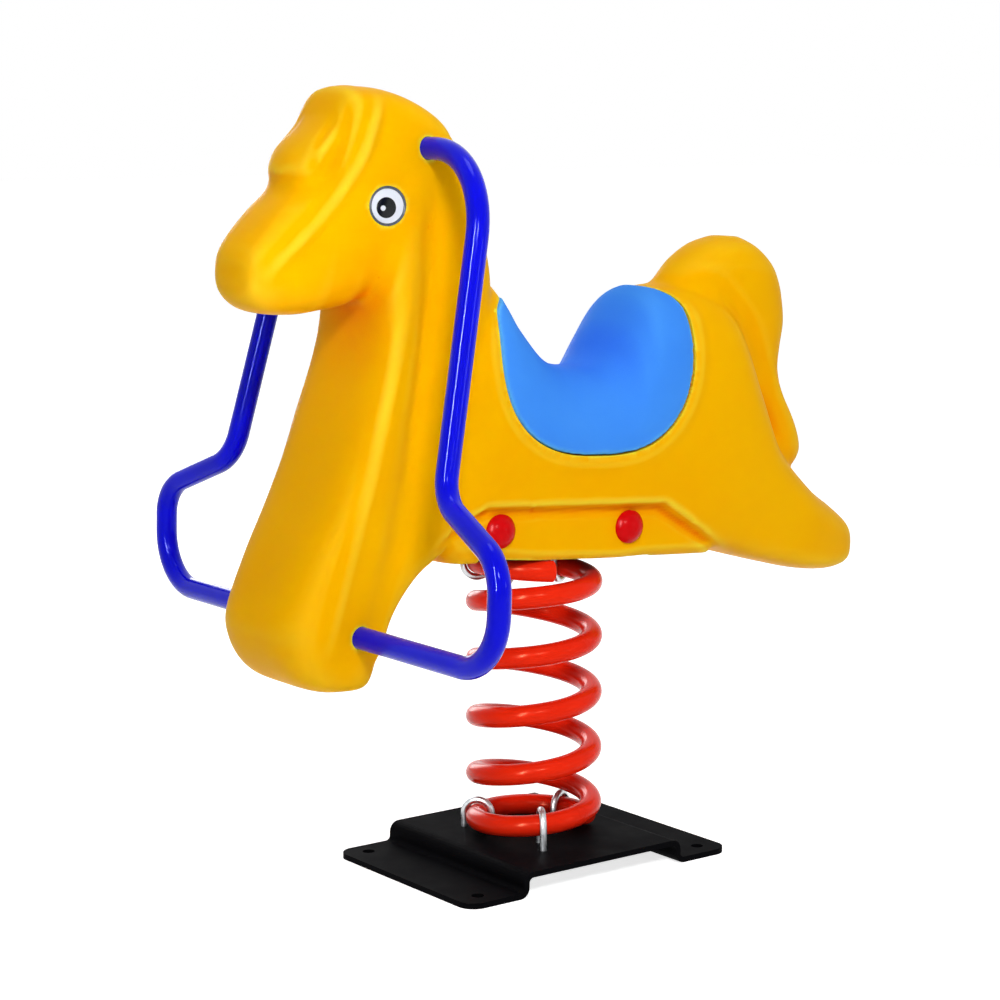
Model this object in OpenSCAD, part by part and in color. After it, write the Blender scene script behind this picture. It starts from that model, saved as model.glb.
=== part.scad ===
// Playground spring rider: a moulded horse on one coil spring and a pressed base plate.
// Frame: origin on the ground under the spring axis, +X towards the head, +Z up, millimetres.
// The rider's own frame starts at the underside of its bracket, where the spring ends.

/* [Base plate] */
// Length of the base plate, head to tail
base_l = 340; // [326:1:420]
// Width of the base plate
base_w = 236; // [226:1:300]
// Length of the raised platform
platform_l = 204; // [196:1:230]
// Height of the platform's top face above the ground
base_h = 26; // [25:0.5:34]
// Thickness of the pressed steel
base_t = 6; // [5:0.25:6.5]
// Inner radius of the pressed bends
base_bend_r = 5; // [3:0.25:6]
// Rounding of the plate's four corners
base_corner_r = 18; // [10:1:22]
// Diameter of the ground anchor holes
anchor_d = 13; // [11:0.5:15]
// Distance from an anchor hole to the plate's end
anchor_end_inset = 26; // [22:1:34]
// Distance from an anchor hole to the plate's side
anchor_side_inset = 22; // [18:1:34]

/* [Spring] */
// Height of the coil spring, end to end
spring_h = 296; // [270:1:340]
// Diameter of the coil, measured at the middle of the wire
coil_d = 120; // [112:1:128]
// Diameter of the spring wire
wire_d = 22; // [18:0.5:23]
// Number of turns, flat ends included
spring_turns = 5.75; // [5.5:0.05:6]
// Direction of the lower wire end, seen from above
spring_start_angle = 162; // [150:1:170]

/* [Spring clamps] */
// Diameter of the bent clamp bars
clamp_d = 7; // [5:0.25:7.5]
// Directions of the lower clamps around the coil
lower_clamp_angles = [60, 204, 310]; // [0:1:359]
// Angle between an upper clamp and the rider's length
upper_clamp_spread = 25; // [20:1:28]
// Width of the clamp nuts across their corners
clamp_nut_d = 14; // [12:0.25:15]
// Height of the clamp nuts
clamp_nut_h = 6; // [4:0.25:7]
// Outer diameter of the clamp washers
clamp_washer_d = 16; // [14:0.25:17]
// Thickness of the clamp washers
clamp_washer_t = 1.6; // [1:0.1:2]

/* [Rider bracket] */
// Length of the steel channel under the rider
bracket_l = 224; // [214:1:236]
// Outer width of the channel
bracket_w = 112; // [108:0.5:114]
// Height of the channel's cheeks
bracket_h = 60; // [54:1:66]
// Thickness of the channel's steel
bracket_t = 5; // [4:0.25:6]
// Angle by which the rider leans back on the spring
rider_tilt = 4; // [0:0.25:5]

/* [Chest and front leg] */
// Height from the foot to the top of the chest band
chest_h = 460; // [440:1:480]
// Depth from the groove behind the chest to the toe
chest_l = 132; // [124:1:142]
// Width of the chest
chest_w = 158; // [150:1:166]
// Distance from the spring axis to the groove behind the chest
chest_x = 200; // [194:1:206]
// Depth of the foot below the rider's belly
foot_drop = 120; // [112:1:128]

/* [Head] */
// Length from the poll to the nose
head_l = 222; // [212:1:232]
// Height from the chin to the top of the head
head_h = 212; // [204:1:222]
// Width of the head
head_w = 122; // [116:1:128]

/* [Trunk] */
// Length from the shoulder to the hind foot
trunk_l = 598; // [580:1:620]
// Height from the belly to the top of the rump
trunk_h = 282; // [272:1:292]
// Width of the trunk
trunk_w = 156; // [148:1:164]
// Width between the flat belly sides that the bolts go through
belly_w = 128; // [124:1:136]
// Height of the flat belly sides
belly_h = 55; // [50:1:60]

/* [Tail] */
// Length of the tail behind the rump
tail_l = 147; // [138:1:156]
// Height of the tail
tail_h = 256; // [246:1:266]
// Width of the tail
tail_w = 88; // [80:1:96]

/* [Saddle] */
// Length of the saddle's side panel
seat_l = 248; // [236:1:260]
// Depth of the side panel below the saddle's middle
seat_drop = 125; // [116:1:134]
// Thickness of the saddle moulding
seat_t = 14; // [10:0.5:18]
// Diameter of the bolts that hold the saddle
seat_bolt_d = 8; // [6:0.5:10]
// Distance between the saddle bolts
seat_bolt_span = 44; // [36:1:52]

/* [Handles] */
// Diameter of the handle tube
handle_d = 22; // [18:0.5:24]
// Distance between the two hand grips at their tops
grip_top_span = 306; // [286:1:330]
// Distance between the two hand grips at their lower ends
grip_low_span = 370; // [340:1:400]
// Width over the middles of the two foot loops
loop_span = 586; // [560:1:620]
// Bend radius at the top of the grips
grip_bend_r = 92; // [60:1:96]
// Bend radius at the top of the foot loops
loop_bend_r = 42; // [34:1:46]
// Bend radius at the bottom of the foot loops
foot_bend_r = 56; // [46:1:60]
// Outer diameter of the sleeves that hold the handle ends
sleeve_d = 28; // [26:0.5:30]
// Length of the sleeves
sleeve_l = 96; // [84:1:104]

/* [Eyes] */
// Diameter of an eye with its rim
eye_d = 40; // [36:0.5:44]
// Diameter of the white of an eye
eye_white_d = 35; // [31:0.5:35.5]
// Diameter of a pupil
pupil_d = 21; // [16:0.5:23]

/* [Belly bolts] */
// Diameter of the cross bolts
belly_bolt_d = 10; // [8:0.5:12]
// Distance between the cross bolts
belly_bolt_span = 166; // [156:1:172]
// Diameter of the bolt covers
cap_d = 34.5; // [33:0.5:38]
// Height of the bolt covers' domes
cap_h = 11.5; // [11:0.5:14]

/* [Hidden] */
$fn = 64;

// Fits: gap between seated pieces, gap round a bar in its hole, and how far a cut runs past a face
seat_gap = 0.3;
hole_gap = 0.5;
thread_gap = 0.1;
overrun = 2;

// Facets: points round a moulded section, rings per spring turn, sides of the wire and of the
// handles, steps in a bend, and facets of small round forms and cuts in the mouldings
ring_points = 20;
rings_per_turn = 24;
wire_sides = 8;
handle_sides = 16;
arc_steps = 6;
hull_fn = 16;
cut_fn = 20;

// Spring: flat share of a turn at each end, half the length of the ease into the pitch,
// and the stretch of wire that can meet the next turn
dead_turn_share = 0.6;
ease_turn_share = 0.5;
next_turn_shares = [0.6, 1.4];
wire_r = wire_d / 2;
coil_r = coil_d / 2;
coil_rise = spring_h - wire_d;
coil_pitch = coil_rise / (spring_turns - 2 * dead_turn_share);
coil_z = base_h + seat_gap + wire_r;
rider_z = base_h + seat_gap + spring_h + seat_gap;
spring_end_angle = spring_start_angle + 360 * spring_turns;

// Clamps
clamp_arch_r = wire_r + hole_gap + clamp_d / 2;
clamp_end = 3;
upper_clamp_angles = [upper_clamp_spread, 180 + upper_clamp_spread, 360 - upper_clamp_spread];

// Belly bolts, from the belly's side outwards: cap base, washer, bolt head, dome
belly_bolt_z = 33;
belly_bolt_shift = 12;
belly_bolt_xs = [belly_bolt_shift + belly_bolt_span / 2, belly_bolt_shift - belly_bolt_span / 2];
cap_base_t = 1.5;
cap_wall = 2;
cap_skirt_share = 0.1;
belly_washer_d = 21;
belly_washer_t = 1.5;
belly_head_d = 18;
belly_head_h = 5;
belly_washer_y = belly_w / 2 + cap_base_t;
belly_head_y = belly_washer_y + belly_washer_t;
belly_bolt_end = 1.5;
belly_tip_y = belly_head_y + belly_head_h + belly_bolt_end;
spacer_d = 16;

// Flat belly sides: front and back ends along the bracket, at the bottom and at the top
belly_low_shares = [0.92, -1.00];
belly_high_shares = [0.46, -0.54];

// Moulded horse: roundness of each form's section, above and below or before and behind
chest_round = [3.8, 2.6];
mane_round = [2.6, 2.8];
head_round = [3.4, 2.8];
trunk_round = [2.6, 5.5];
tail_round = [2.4, 2.4];

// Chest band and mane, bottom up: height, front, back, width
chest_shares = [
  [0.00, 0.66, 0.30, 0.60], [0.01, 0.79, 0.21, 0.80], [0.04, 0.92, 0.17, 0.92], [0.09, 1.02, 0.15, 0.98],
  [0.15, 1.04, 0.15, 1.00], [0.27, 0.89, 0.10, 1.00], [0.37, 0.73, 0.06, 1.00], [0.47, 0.59, 0.03, 0.98],
  [0.57, 0.48, 0.01, 0.95], [0.66, 0.38, -0.02, 0.92], [0.75, 0.33, -0.05, 0.89], [0.89, 0.34, -0.09, 0.84],
  [1.00, 0.34, -0.08, 0.76]
];
mane_shares = [
  [0.01, 0.47, 0.27, 0.60], [0.08, 0.53, 0.17, 0.88], [0.15, 0.53, 0.09, 0.92], [0.20, 0.47, -0.01, 0.93],
  [0.25, 0.42, -0.17, 0.94], [0.30, 0.38, -0.42, 0.95], [0.37, 0.30, -0.55, 0.95], [0.57, 0.19, -0.66, 0.91],
  [0.75, 0.09, -0.74, 0.86], [0.89, 0.04, -0.72, 0.83], [1.02, 0.00, -0.55, 0.78], [1.13, 0.00, -0.38, 0.73],
  [1.17, -0.04, -0.28, 0.63], [1.19, -0.10, -0.23, 0.42]
];

// Head, poll to nose: length, top, bottom, width
head_shares = [
  [0.00, 0.75, 0.68, 0.59], [0.03, 0.81, 0.61, 0.82], [0.08, 0.89, 0.50, 0.93], [0.15, 0.94, 0.38, 0.98],
  [0.25, 0.98, 0.24, 1.00], [0.36, 1.00, 0.10, 1.00], [0.48, 1.00, 0.03, 1.00], [0.55, 0.985, 0.01, 0.99],
  [0.61, 0.86, 0.00, 0.96], [0.66, 0.69, -0.01, 0.93], [0.73, 0.58, -0.02, 0.87], [0.82, 0.49, -0.02, 0.81],
  [0.92, 0.37, 0.00, 0.73], [0.98, 0.28, 0.05, 0.60], [1.00, 0.21, 0.12, 0.38]
];

// Trunk and hind leg, shoulder to foot: length, top, bottom, width
trunk_shares = [
  [0.00, 0.85, 0.12, 0.80], [0.07, 0.97, 0.00, 0.90], [0.14, 1.01, 0.00, 0.94], [0.20, 0.86, 0.00, 0.96],
  [0.25, 0.75, 0.00, 0.97], [0.29, 0.70, 0.00, 0.97], [0.325, 0.685, 0.00, 0.97], [0.36, 0.68, 0.00, 0.98],
  [0.395, 0.69, 0.00, 0.99], [0.425, 0.74, 0.00, 1.00], [0.455, 0.86, 0.00, 1.00], [0.485, 0.96, 0.00, 1.00],
  [0.53, 0.99, 0.00, 1.00], [0.61, 1.00, 0.00, 1.00], [0.68, 0.93, 0.00, 0.97], [0.74, 0.69, -0.03, 0.92],
  [0.80, 0.44, -0.055, 0.87], [0.89, 0.26, -0.085, 0.80], [0.96, 0.17, -0.09, 0.68],
  [1.01, 0.10, -0.07, 0.52], [1.032, 0.03, -0.03, 0.27]
];

// Tail, bottom up: height, front, back, width
tail_shares = [
  [0.00, 0.70, 0.85, 0.50], [0.04, 0.60, 0.95, 0.77], [0.10, 0.55, 1.00, 0.90], [0.16, 0.55, 0.97, 0.95],
  [0.24, 0.50, 0.90, 0.95], [0.34, 0.40, 0.79, 0.93], [0.44, 0.20, 0.74, 0.91], [0.54, 0.00, 0.75, 0.97],
  [0.65, -0.16, 0.78, 1.00], [0.75, -0.36, 0.76, 1.00], [0.82, -0.33, 0.72, 0.97], [0.89, -0.21, 0.64, 0.91],
  [0.96, -0.04, 0.49, 0.68], [1.00, 0.14, 0.34, 0.27]
];

// Where the forms meet: head and trunk along the chest, tail along the trunk
head_place_shares = [-0.33, 0.79];
trunk_place_share = -0.08;
tail_place_shares = [-0.65, 0.28];
head_x = chest_x + chest_l * head_place_shares[0];
head_z = -foot_drop + chest_h * head_place_shares[1];
trunk_x = chest_x + chest_l * trunk_place_share;
tail_x = trunk_x + trunk_l * tail_place_shares[0];
tail_z = trunk_h * tail_place_shares[1];

// Forelock on the brow: length and height along the head, and size, down the middle
forelock_shares = [
  [0.48, 0.965, 0.72], [0.54, 0.91, 0.66], [0.61, 0.80, 0.84], [0.69, 0.695, 1.04], [0.73, 0.635, 0.94]
];
forelock_w = 72;
forelock_flat_share = 0.40;

// Saddle panel seen from the side
seat_place_shares = [-0.342, 0.83];
seat_x = trunk_x + trunk_l * seat_place_shares[0];
seat_z = trunk_h * seat_place_shares[1];
seat_rise = 52;
seat_round = [3.6, 2.6];
seat_steps = 32;
seat_bolt_bite = 8;
seat_bolt_head_d = 13;
seat_bolt_head_h = 5.5;
seat_bolt_xs = [seat_x + seat_bolt_span / 2, seat_x - seat_bolt_span / 2];

// Handle path in the rider's frame
upper_end_shares = [0.205, 0.755];
lower_end_shares = [0.485, 0.125];
grip_low_shares = [0.41, 0.44];
loop_high_shares = [0.515, 0.345];
function on_head(shares, y) = [head_x + head_l * shares[0], y, head_z + head_h * shares[1]];
function on_chest(shares, y) = [chest_x + chest_l * shares[0], y, -foot_drop + chest_h * shares[1]];
handle_end_y = 8;
upper_end = on_head(upper_end_shares, 0);
lower_end = on_chest(lower_end_shares, 0);
handle_points = [
  on_head(upper_end_shares, handle_end_y),
  on_head(upper_end_shares, grip_top_span / 2),
  on_chest(grip_low_shares, grip_low_span / 2),
  on_chest(loop_high_shares, loop_span / 2),
  on_chest(lower_end_shares, loop_span / 2),
  on_chest(lower_end_shares, handle_end_y)
];
handle_bends = [0, grip_bend_r, loop_bend_r, loop_bend_r, foot_bend_r, 0];
handle_path = [for (i = [0:len(handle_points) - 1]) each bend(i)];

// Eyes, from the bottom of their seat outwards
eye_shares = [0.408, 0.488];
eye_inset = 3.5;
eye_rim_t = 4;
eye_floor_t = 1;
eye_white_t = 2.6;
pupil_t = 1.2;
pupil_ahead = 2.2;
pupil_drop = 1.6;

// Functions: arcs, unit vectors, a handle's bends, signed powers, and rows with smooth rows between
function arc(centre, r, from, to) =
  [for (i = [0:arc_steps]) let (a = from + (to - from) * i / arc_steps) centre + r * [cos(a), sin(a)]];
function unit(v) = v / norm(v);
function bend(i) =
  handle_bends[i] == 0 ? [handle_points[i]]
  : let (
      u = unit(handle_points[i] - handle_points[i - 1]),
      v = unit(handle_points[i + 1] - handle_points[i]),
      r = handle_bends[i],
      turn = acos(u * v),
      in = unit(v - u * (u * v)),
      start = handle_points[i] - u * r * tan(turn / 2)
    )
    [for (k = [0:arc_steps]) let (t = turn * k / arc_steps) start + r * ((1 - cos(t)) * in + sin(t) * u)];
function signed_power(v, e) = sign(v) * pow(abs(v), e);
function around(a, round) =
  let (e = 2 / (sin(a) < 0 ? round[1] : round[0])) [signed_power(cos(a), e), signed_power(sin(a), e)];
function row(rows, i) = rows[max(0, min(len(rows) - 1, i))];
function between(rows, i) =
  (9 * (row(rows, i) + row(rows, i + 1)) - row(rows, i - 1) - row(rows, i + 2)) / 16;
function smooth_rows(rows) =
  [for (i = [0:len(rows) - 1]) each i < len(rows) - 1 ? [row(rows, i), between(rows, i)] : [row(rows, i)]];

// A level section at height r[0] from r[1] back to r[2], or an upright one at r[0] from r[1] down to r[2]
function level_ring(r, round) =
  [for (i = [0:ring_points - 1]) let (p = around(360 * (i + 0.5) / ring_points + 90, round))
    [(r[1] + r[2]) / 2 + (r[1] - r[2]) / 2 * p[1], -r[3] * p[0], r[0]]];
function upright_ring(r, round) =
  [for (i = [0:ring_points - 1]) let (p = around(360 * (i + 0.5) / ring_points, round))
    [r[0], -r[3] * p[0], (r[1] + r[2]) / 2 + (r[1] - r[2]) / 2 * p[1]]];
function chest_row(s) =
  [chest_h * s[0] - foot_drop, chest_x + chest_l * s[1], chest_x + chest_l * s[2], chest_w / 2 * s[3]];
function head_row(s) =
  [head_x + head_l * s[0], head_z + head_h * s[1], head_z + head_h * s[2], head_w / 2 * s[3]];
function trunk_row(s, in) =
  [trunk_x - trunk_l * s[0], trunk_h * s[1] - in, trunk_h * s[2] + in, trunk_w / 2 * s[3] - in];
function tail_row(s) =
  [tail_z + tail_h * s[0], tail_x - tail_l * s[1], tail_x - tail_l * s[2], tail_w / 2 * s[3]];
function trunk_top(x) = lookup(-x, [for (s = trunk_shares) [trunk_l * s[0] - trunk_x, trunk_h * s[1]]]);

// Spring: rise after t turns, its lean with the rider, the wire's middle, and its least gap to itself
function eased(t) =
  let (in = t - dead_turn_share + ease_turn_share)
    in < 0 ? 0 : in < 2 * ease_turn_share ? pow(in, 2) / (4 * ease_turn_share) : t - dead_turn_share;
function rise(t) =
  t < spring_turns / 2 ? coil_pitch * eased(t) : coil_rise - coil_pitch * eased(spring_turns - t);
function wire_middle(t) =
  let (a = spring_start_angle + 360 * t, x = coil_r * cos(a))
    [x, coil_r * sin(a), coil_z + rise(t) + x * tan(rider_tilt * rise(t) / coil_rise)];
spring_rings = round(spring_turns * rings_per_turn);
spring_path = [for (i = [0:spring_rings]) wire_middle(spring_turns * i / spring_rings)];
self_gap = min([
  for (i = [0:spring_rings])
    let (near = [for (s = next_turn_shares) i + round(rings_per_turn * s)])
      for (j = [near[0]:min(spring_rings, near[1])])
        norm(spring_path[i] - spring_path[j]) - wire_d
]);
function lower_turn(angle) = (((angle - spring_start_angle) % 360 + 360) % 360) / 360;
function upper_turn(angle) = spring_turns - (((spring_end_angle - angle) % 360 + 360) % 360) / 360;

// Middles of the wire under the clamps, the upper ones in the rider's frame
function in_rider(p) =
  let (h = p[2] - rider_z)
    [p[0] * cos(rider_tilt) + h * sin(rider_tilt), p[1], h * cos(rider_tilt) - p[0] * sin(rider_tilt)];
lower_clamp_places = [for (a = lower_clamp_angles) wire_middle(lower_turn(a))];
upper_clamp_places = [for (a = upper_clamp_angles) in_rider(wire_middle(upper_turn(a)))];

// Puts a piece of the rider on the leaning end of the spring
module on_rider() {
  translate([0, 0, rider_z])
    rotate([0, -rider_tilt, 0])
      children();
}

// One piece on each side of the rider
module both_sides() {
  children();
  mirror([0, 1, 0]) children();
}

// A round bar along +Y, from y to y + l
module cross_bar(d, y, l, fn = $fn) {
  translate([0, y, 0])
    rotate([-90, 0, 0])
      cylinder(d = d, h = l, $fn = fn);
}

// A skin through rings of points, closed at both ends
module loft(rings) {
  n = len(rings[0]);
  m = len(rings);
  ends = [for (r = [rings[0], rings[m - 1]]) [for (p = r) 1] * r / n];
  polyhedron(
    points = concat([for (r = rings) each r], ends),
    faces = concat(
      [for (k = [0:m - 2], i = [0:n - 1]) let (j = (i + 1) % n, a = k * n)
        each [[a + i, a + n + i, a + j], [a + j, a + n + i, a + n + j]]],
      [for (i = [0:n - 1]) let (j = (i + 1) % n, b = (m - 1) * n)
        each [[m * n, i, j], [m * n + 1, b + j, b + i]]]
    )
  );
}

// A round bar along a path, whose sections turn about a direction that the path never follows
module swept_bar(path, r, sides, about) {
  m = len(path) - 1;
  loft([for (i = [0:m])
    let (
      along = unit(path[min(m, i + 1)] - path[min(m - 1, i)]) + unit(path[max(1, i)] - path[max(0, i - 1)]),
      out = unit(cross(along, about)),
      up = unit(cross(out, along))
    )
    [for (k = [0:sides - 1]) path[i] + r * (cos(360 * k / sides) * out + sin(360 * k / sides) * up)]]);
}

module chest_form() {
  loft([for (s = chest_shares) level_ring(chest_row(s), chest_round)]);
}

module mane_form() {
  loft([for (s = mane_shares) level_ring(chest_row(s), mane_round)]);
}

module head_form() {
  rows = smooth_rows([for (s = head_shares) head_row(s)]);
  loft([for (i = [len(rows) - 1:-1:0]) upright_ring(rows[i], head_round)]);
}

// The trunk, or with an inset the trunk under a skin, as far as it is thick enough
module trunk_form(in = 0) {
  rows = [for (s = trunk_shares) if (trunk_h * (s[1] - s[2]) > 4 * in) trunk_row(s, in)];
  loft([for (r = smooth_rows(rows)) upright_ring(r, trunk_round)]);
}

module tail_form() {
  loft([for (s = tail_shares) level_ring(tail_row(s), tail_round)]);
}

module forelock_form() {
  for (i = [0:len(forelock_shares) - 2])
    hull()
      for (s = [forelock_shares[i], forelock_shares[i + 1]])
        translate([head_x + head_l * s[0], 0, head_z + head_h * s[1]])
          scale([forelock_flat_share, 1, forelock_flat_share])
            sphere(d = forelock_w * s[2], $fn = hull_fn);
}

// The saddle's side panel, as wide as the trunk, grown by a gap
module saddle_panel(gap = 0) {
  rotate([90, 0, 0])
    linear_extrude(trunk_w + overrun, center = true)
      polygon([
        for (i = [0:seat_steps - 1])
          let (p = around(360 * i / seat_steps, seat_round), h = p[1] < 0 ? seat_drop : seat_rise)
            [seat_x + (seat_l / 2 + gap) * p[0], seat_z + (h + gap) * p[1]]
      ]);
}

// Steel U with round bends: half width w, height h, thickness t, drawn upright
module channel_profile(w, h, t, r) {
  polygon(concat(
    [[w, h], [w - t, h]],
    arc([w - t - r, t + r], r, 0, -90),
    arc([t + r - w, t + r], r, 270, 180),
    [[t - w, h], [-w, h]],
    arc([t + r - w, t + r], t + r, 180, 270),
    arc([w - t - r, t + r], t + r, -90, 0)
  ));
}

// Clamp bar: a half ring over the wire with two legs, standing on its wire's middle
module clamp_bar(leg) {
  rotate([90, 0, 0])
    rotate_extrude(angle = 180)
      translate([clamp_arch_r, 0]) circle(d = clamp_d);
  for (side = [-1, 1])
    translate([side * clamp_arch_r, 0, -leg]) cylinder(d = clamp_d, h = leg);
}

// Places a piece at each leg of the lower or the upper clamps
module at_clamp_legs(angles, places) {
  for (i = [0:len(angles) - 1], side = [-1, 1])
    translate([places[i][0], places[i][1], 0])
      rotate([0, 0, angles[i]])
        translate([side * clamp_arch_r, 0, 0])
          children();
}

module ring(d, bore, h) {
  difference() {
    cylinder(d = d, h = h);
    translate([0, 0, -overrun]) cylinder(d = bore, h = h + 2 * overrun);
  }
}

module hex_nut(d, bore, h) {
  difference() {
    cylinder(d = d, h = h, $fn = 6);
    translate([0, 0, -overrun]) cylinder(d = bore, h = h + 2 * overrun);
  }
}

module base_plate() {
  p = platform_l / 2;
  low = [p + base_bend_r, base_t + base_bend_r];
  high = [p - base_t - base_bend_r, base_h - base_t - base_bend_r];
  top = concat(
    [[base_l / 2, base_t]], arc(low, base_bend_r, 270, 180), arc(high, base_bend_r + base_t, 0, 90)
  );
  bottom = concat(
    arc(high, base_bend_r, 90, 0), arc(low, base_bend_r + base_t, 180, 270), [[base_l / 2, 0]]
  );
  left_top = [for (i = [len(top) - 1:-1:0]) [-top[i][0], top[i][1]]];
  left_bottom = [for (i = [len(bottom) - 1:-1:0]) [-bottom[i][0], bottom[i][1]]];
  corner = [base_l / 2 - base_corner_r, base_w / 2 - base_corner_r];
  color("#1b1b1d")
    difference() {
      intersection() {
        rotate([90, 0, 0])
          linear_extrude(base_w, center = true)
            polygon(concat(top, left_top, left_bottom, bottom));
        union() {
          translate([-base_l / 2, -corner[1], -overrun]) cube([base_l, 2 * corner[1], base_h + 2 * overrun]);
          translate([-corner[0], -base_w / 2, -overrun]) cube([2 * corner[0], base_w, base_h + 2 * overrun]);
          for (x = [-1, 1], y = [-1, 1])
            translate([x * corner[0], y * corner[1], -overrun])
              cylinder(r = base_corner_r, h = base_h + 2 * overrun);
        }
      }
      for (x = [-1, 1], y = [-1, 1])
        translate([x * (base_l / 2 - anchor_end_inset), y * (base_w / 2 - anchor_side_inset), -overrun])
          cylinder(d = anchor_d, h = base_t + 2 * overrun);
      at_clamp_legs(lower_clamp_angles, lower_clamp_places)
        cylinder(d = clamp_d + 2 * hole_gap, h = base_h + overrun);
    }
}

module lower_clamps() {
  color("#c3c6c9")
    for (i = [0:len(lower_clamp_angles) - 1])
      translate(lower_clamp_places[i])
        rotate([0, 0, lower_clamp_angles[i]])
          clamp_bar(lower_clamp_places[i][2] - base_h + base_t + clamp_washer_t + clamp_nut_h + clamp_end);
}

module lower_clamp_washers() {
  color("#aeb2b6")
    translate([0, 0, base_h - base_t - clamp_washer_t])
      at_clamp_legs(lower_clamp_angles, lower_clamp_places)
        ring(clamp_washer_d, clamp_d + 2 * hole_gap, clamp_washer_t);
}

module lower_clamp_nuts() {
  color("#b9bdc1")
    translate([0, 0, base_h - base_t - clamp_washer_t - clamp_nut_h])
      at_clamp_legs(lower_clamp_angles, lower_clamp_places)
        hex_nut(clamp_nut_d, clamp_d + 2 * thread_gap, clamp_nut_h);
}

module coil_spring() {
  echo(least_gap_between_turns = self_gap);
  color("#f0301a")
    swept_bar(spring_path, wire_r, wire_sides, [0, 0, 1]);
}

module rider_bracket() {
  color("#2a2b2e")
    on_rider()
      difference() {
        rotate([90, 0, 90])
          linear_extrude(bracket_l, center = true)
            channel_profile(bracket_w / 2, bracket_h, bracket_t, bracket_t);
        translate([0, 0, -overrun])
          at_clamp_legs(upper_clamp_angles, upper_clamp_places)
            cylinder(d = clamp_d + 2 * hole_gap, h = bracket_t + 2 * overrun);
        at_belly_bolts() cross_bar(belly_bolt_d + 2 * hole_gap, -bracket_w, 2 * bracket_w);
      }
}

module upper_clamps() {
  color("#c3c6c9")
    on_rider()
      for (i = [0:len(upper_clamp_angles) - 1])
        translate(upper_clamp_places[i])
          rotate([180, 0, upper_clamp_angles[i]])
            clamp_bar(bracket_t + clamp_washer_t + clamp_nut_h + clamp_end - upper_clamp_places[i][2]);
}

module upper_clamp_washers() {
  color("#aeb2b6")
    on_rider()
      translate([0, 0, bracket_t])
        at_clamp_legs(upper_clamp_angles, upper_clamp_places)
          ring(clamp_washer_d, clamp_d + 2 * hole_gap, clamp_washer_t);
}

module upper_clamp_nuts() {
  color("#b9bdc1")
    on_rider()
      translate([0, 0, bracket_t + clamp_washer_t])
        at_clamp_legs(upper_clamp_angles, upper_clamp_places)
          hex_nut(clamp_nut_d, clamp_d + 2 * thread_gap, clamp_nut_h);
}

// The flat belly sides: a trapezoid cut on each side of the trunk
module belly_cut() {
  low = [for (s = belly_low_shares) bracket_l * s];
  high = [for (s = belly_high_shares) bracket_l * s];
  rotate([90, 0, 0])
    translate([belly_bolt_shift, 0, belly_w / 2])
      linear_extrude(trunk_w)
        polygon([
          [low[0], -belly_h], [low[0], 0], [high[0], belly_h],
          [high[1], belly_h], [low[1], 0], [low[1], -belly_h]
        ]);
}

module horse_shell() {
  pocket = [bracket_l + 2 * seat_gap, bracket_w + 2 * seat_gap, bracket_h + seat_gap];
  color("#fbb900")
    on_rider()
      difference() {
        union() {
          chest_form();
          mane_form();
          head_form();
          trunk_form();
          tail_form();
          forelock_form();
        }
        difference() {
          saddle_panel(seat_gap);
          trunk_form(seat_t + seat_gap);
        }
        both_sides() belly_cut();
        translate([-pocket[0] / 2, -pocket[1] / 2, -overrun])
          cube([pocket[0], pocket[1], pocket[2] + overrun]);
        at_belly_bolts() cross_bar(belly_bolt_d + 2 * hole_gap, -trunk_w, 2 * trunk_w, cut_fn);
        for (x = seat_bolt_xs)
          translate([x, 0, bracket_h]) cylinder(d = seat_bolt_d + 2 * hole_gap, h = trunk_h, $fn = cut_fn);
        for (p = [upper_end, lower_end])
          translate(p) {
            cross_bar(handle_d + 2 * seat_gap, -chest_w, 2 * chest_w, cut_fn);
            cross_bar(sleeve_d + 2 * seat_gap, -sleeve_l / 2 - seat_gap, sleeve_l + 2 * seat_gap, cut_fn);
          }
        both_sides() at_eye() cross_bar(eye_d + 2 * seat_gap, 0, head_w, cut_fn);
      }
}

module saddle_seat() {
  color("#3c8cff")
    on_rider()
      difference() {
        intersection() {
          trunk_form();
          saddle_panel();
        }
        trunk_form(seat_t);
        for (x = seat_bolt_xs)
          translate([x, 0, bracket_h])
            cylinder(d = seat_bolt_d + 2 * seat_gap, h = seat_bolt_l(x) + hole_gap, $fn = cut_fn);
      }
}

// Saddle bolts hang their heads under the ceiling of the bracket's pocket and end inside the saddle
function seat_bolt_l(x) = trunk_top(x) - seat_t + seat_bolt_bite - bracket_h;

module seat_bolts() {
  color("#b9bdc1")
    on_rider()
      for (x = seat_bolt_xs)
        translate([x, 0, bracket_h]) {
          translate([0, 0, -seat_bolt_head_h]) cylinder(d = seat_bolt_head_d, h = seat_bolt_head_h, $fn = 6);
          cylinder(d = seat_bolt_d, h = seat_bolt_l(x));
        }
}

module left_handle() {
  color("#0a0ae0")
    on_rider()
      swept_bar(handle_path, handle_d / 2, handle_sides, [1, 0, 0]);
}

module right_handle() {
  color("#0a0ae0")
    on_rider()
      mirror([0, 1, 0]) swept_bar(handle_path, handle_d / 2, handle_sides, [1, 0, 0]);
}

module handle_sleeve(place) {
  color("#8f9498")
    on_rider()
      translate(place)
        difference() {
          cross_bar(sleeve_d, -sleeve_l / 2, sleeve_l);
          cross_bar(handle_d + 2 * seat_gap, -sleeve_l, 2 * sleeve_l);
        }
}

module upper_handle_sleeve() {
  handle_sleeve(upper_end);
}

module lower_handle_sleeve() {
  handle_sleeve(lower_end);
}

module at_eye() {
  translate(on_head(eye_shares, head_w / 2 - eye_inset)) children();
}

module eye_rims() {
  color("#3a3f4a")
    on_rider()
      both_sides()
        at_eye()
          difference() {
            cross_bar(eye_d, 0, eye_rim_t);
            cross_bar(eye_white_d + 2 * seat_gap, eye_floor_t, eye_rim_t);
          }
}

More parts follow.
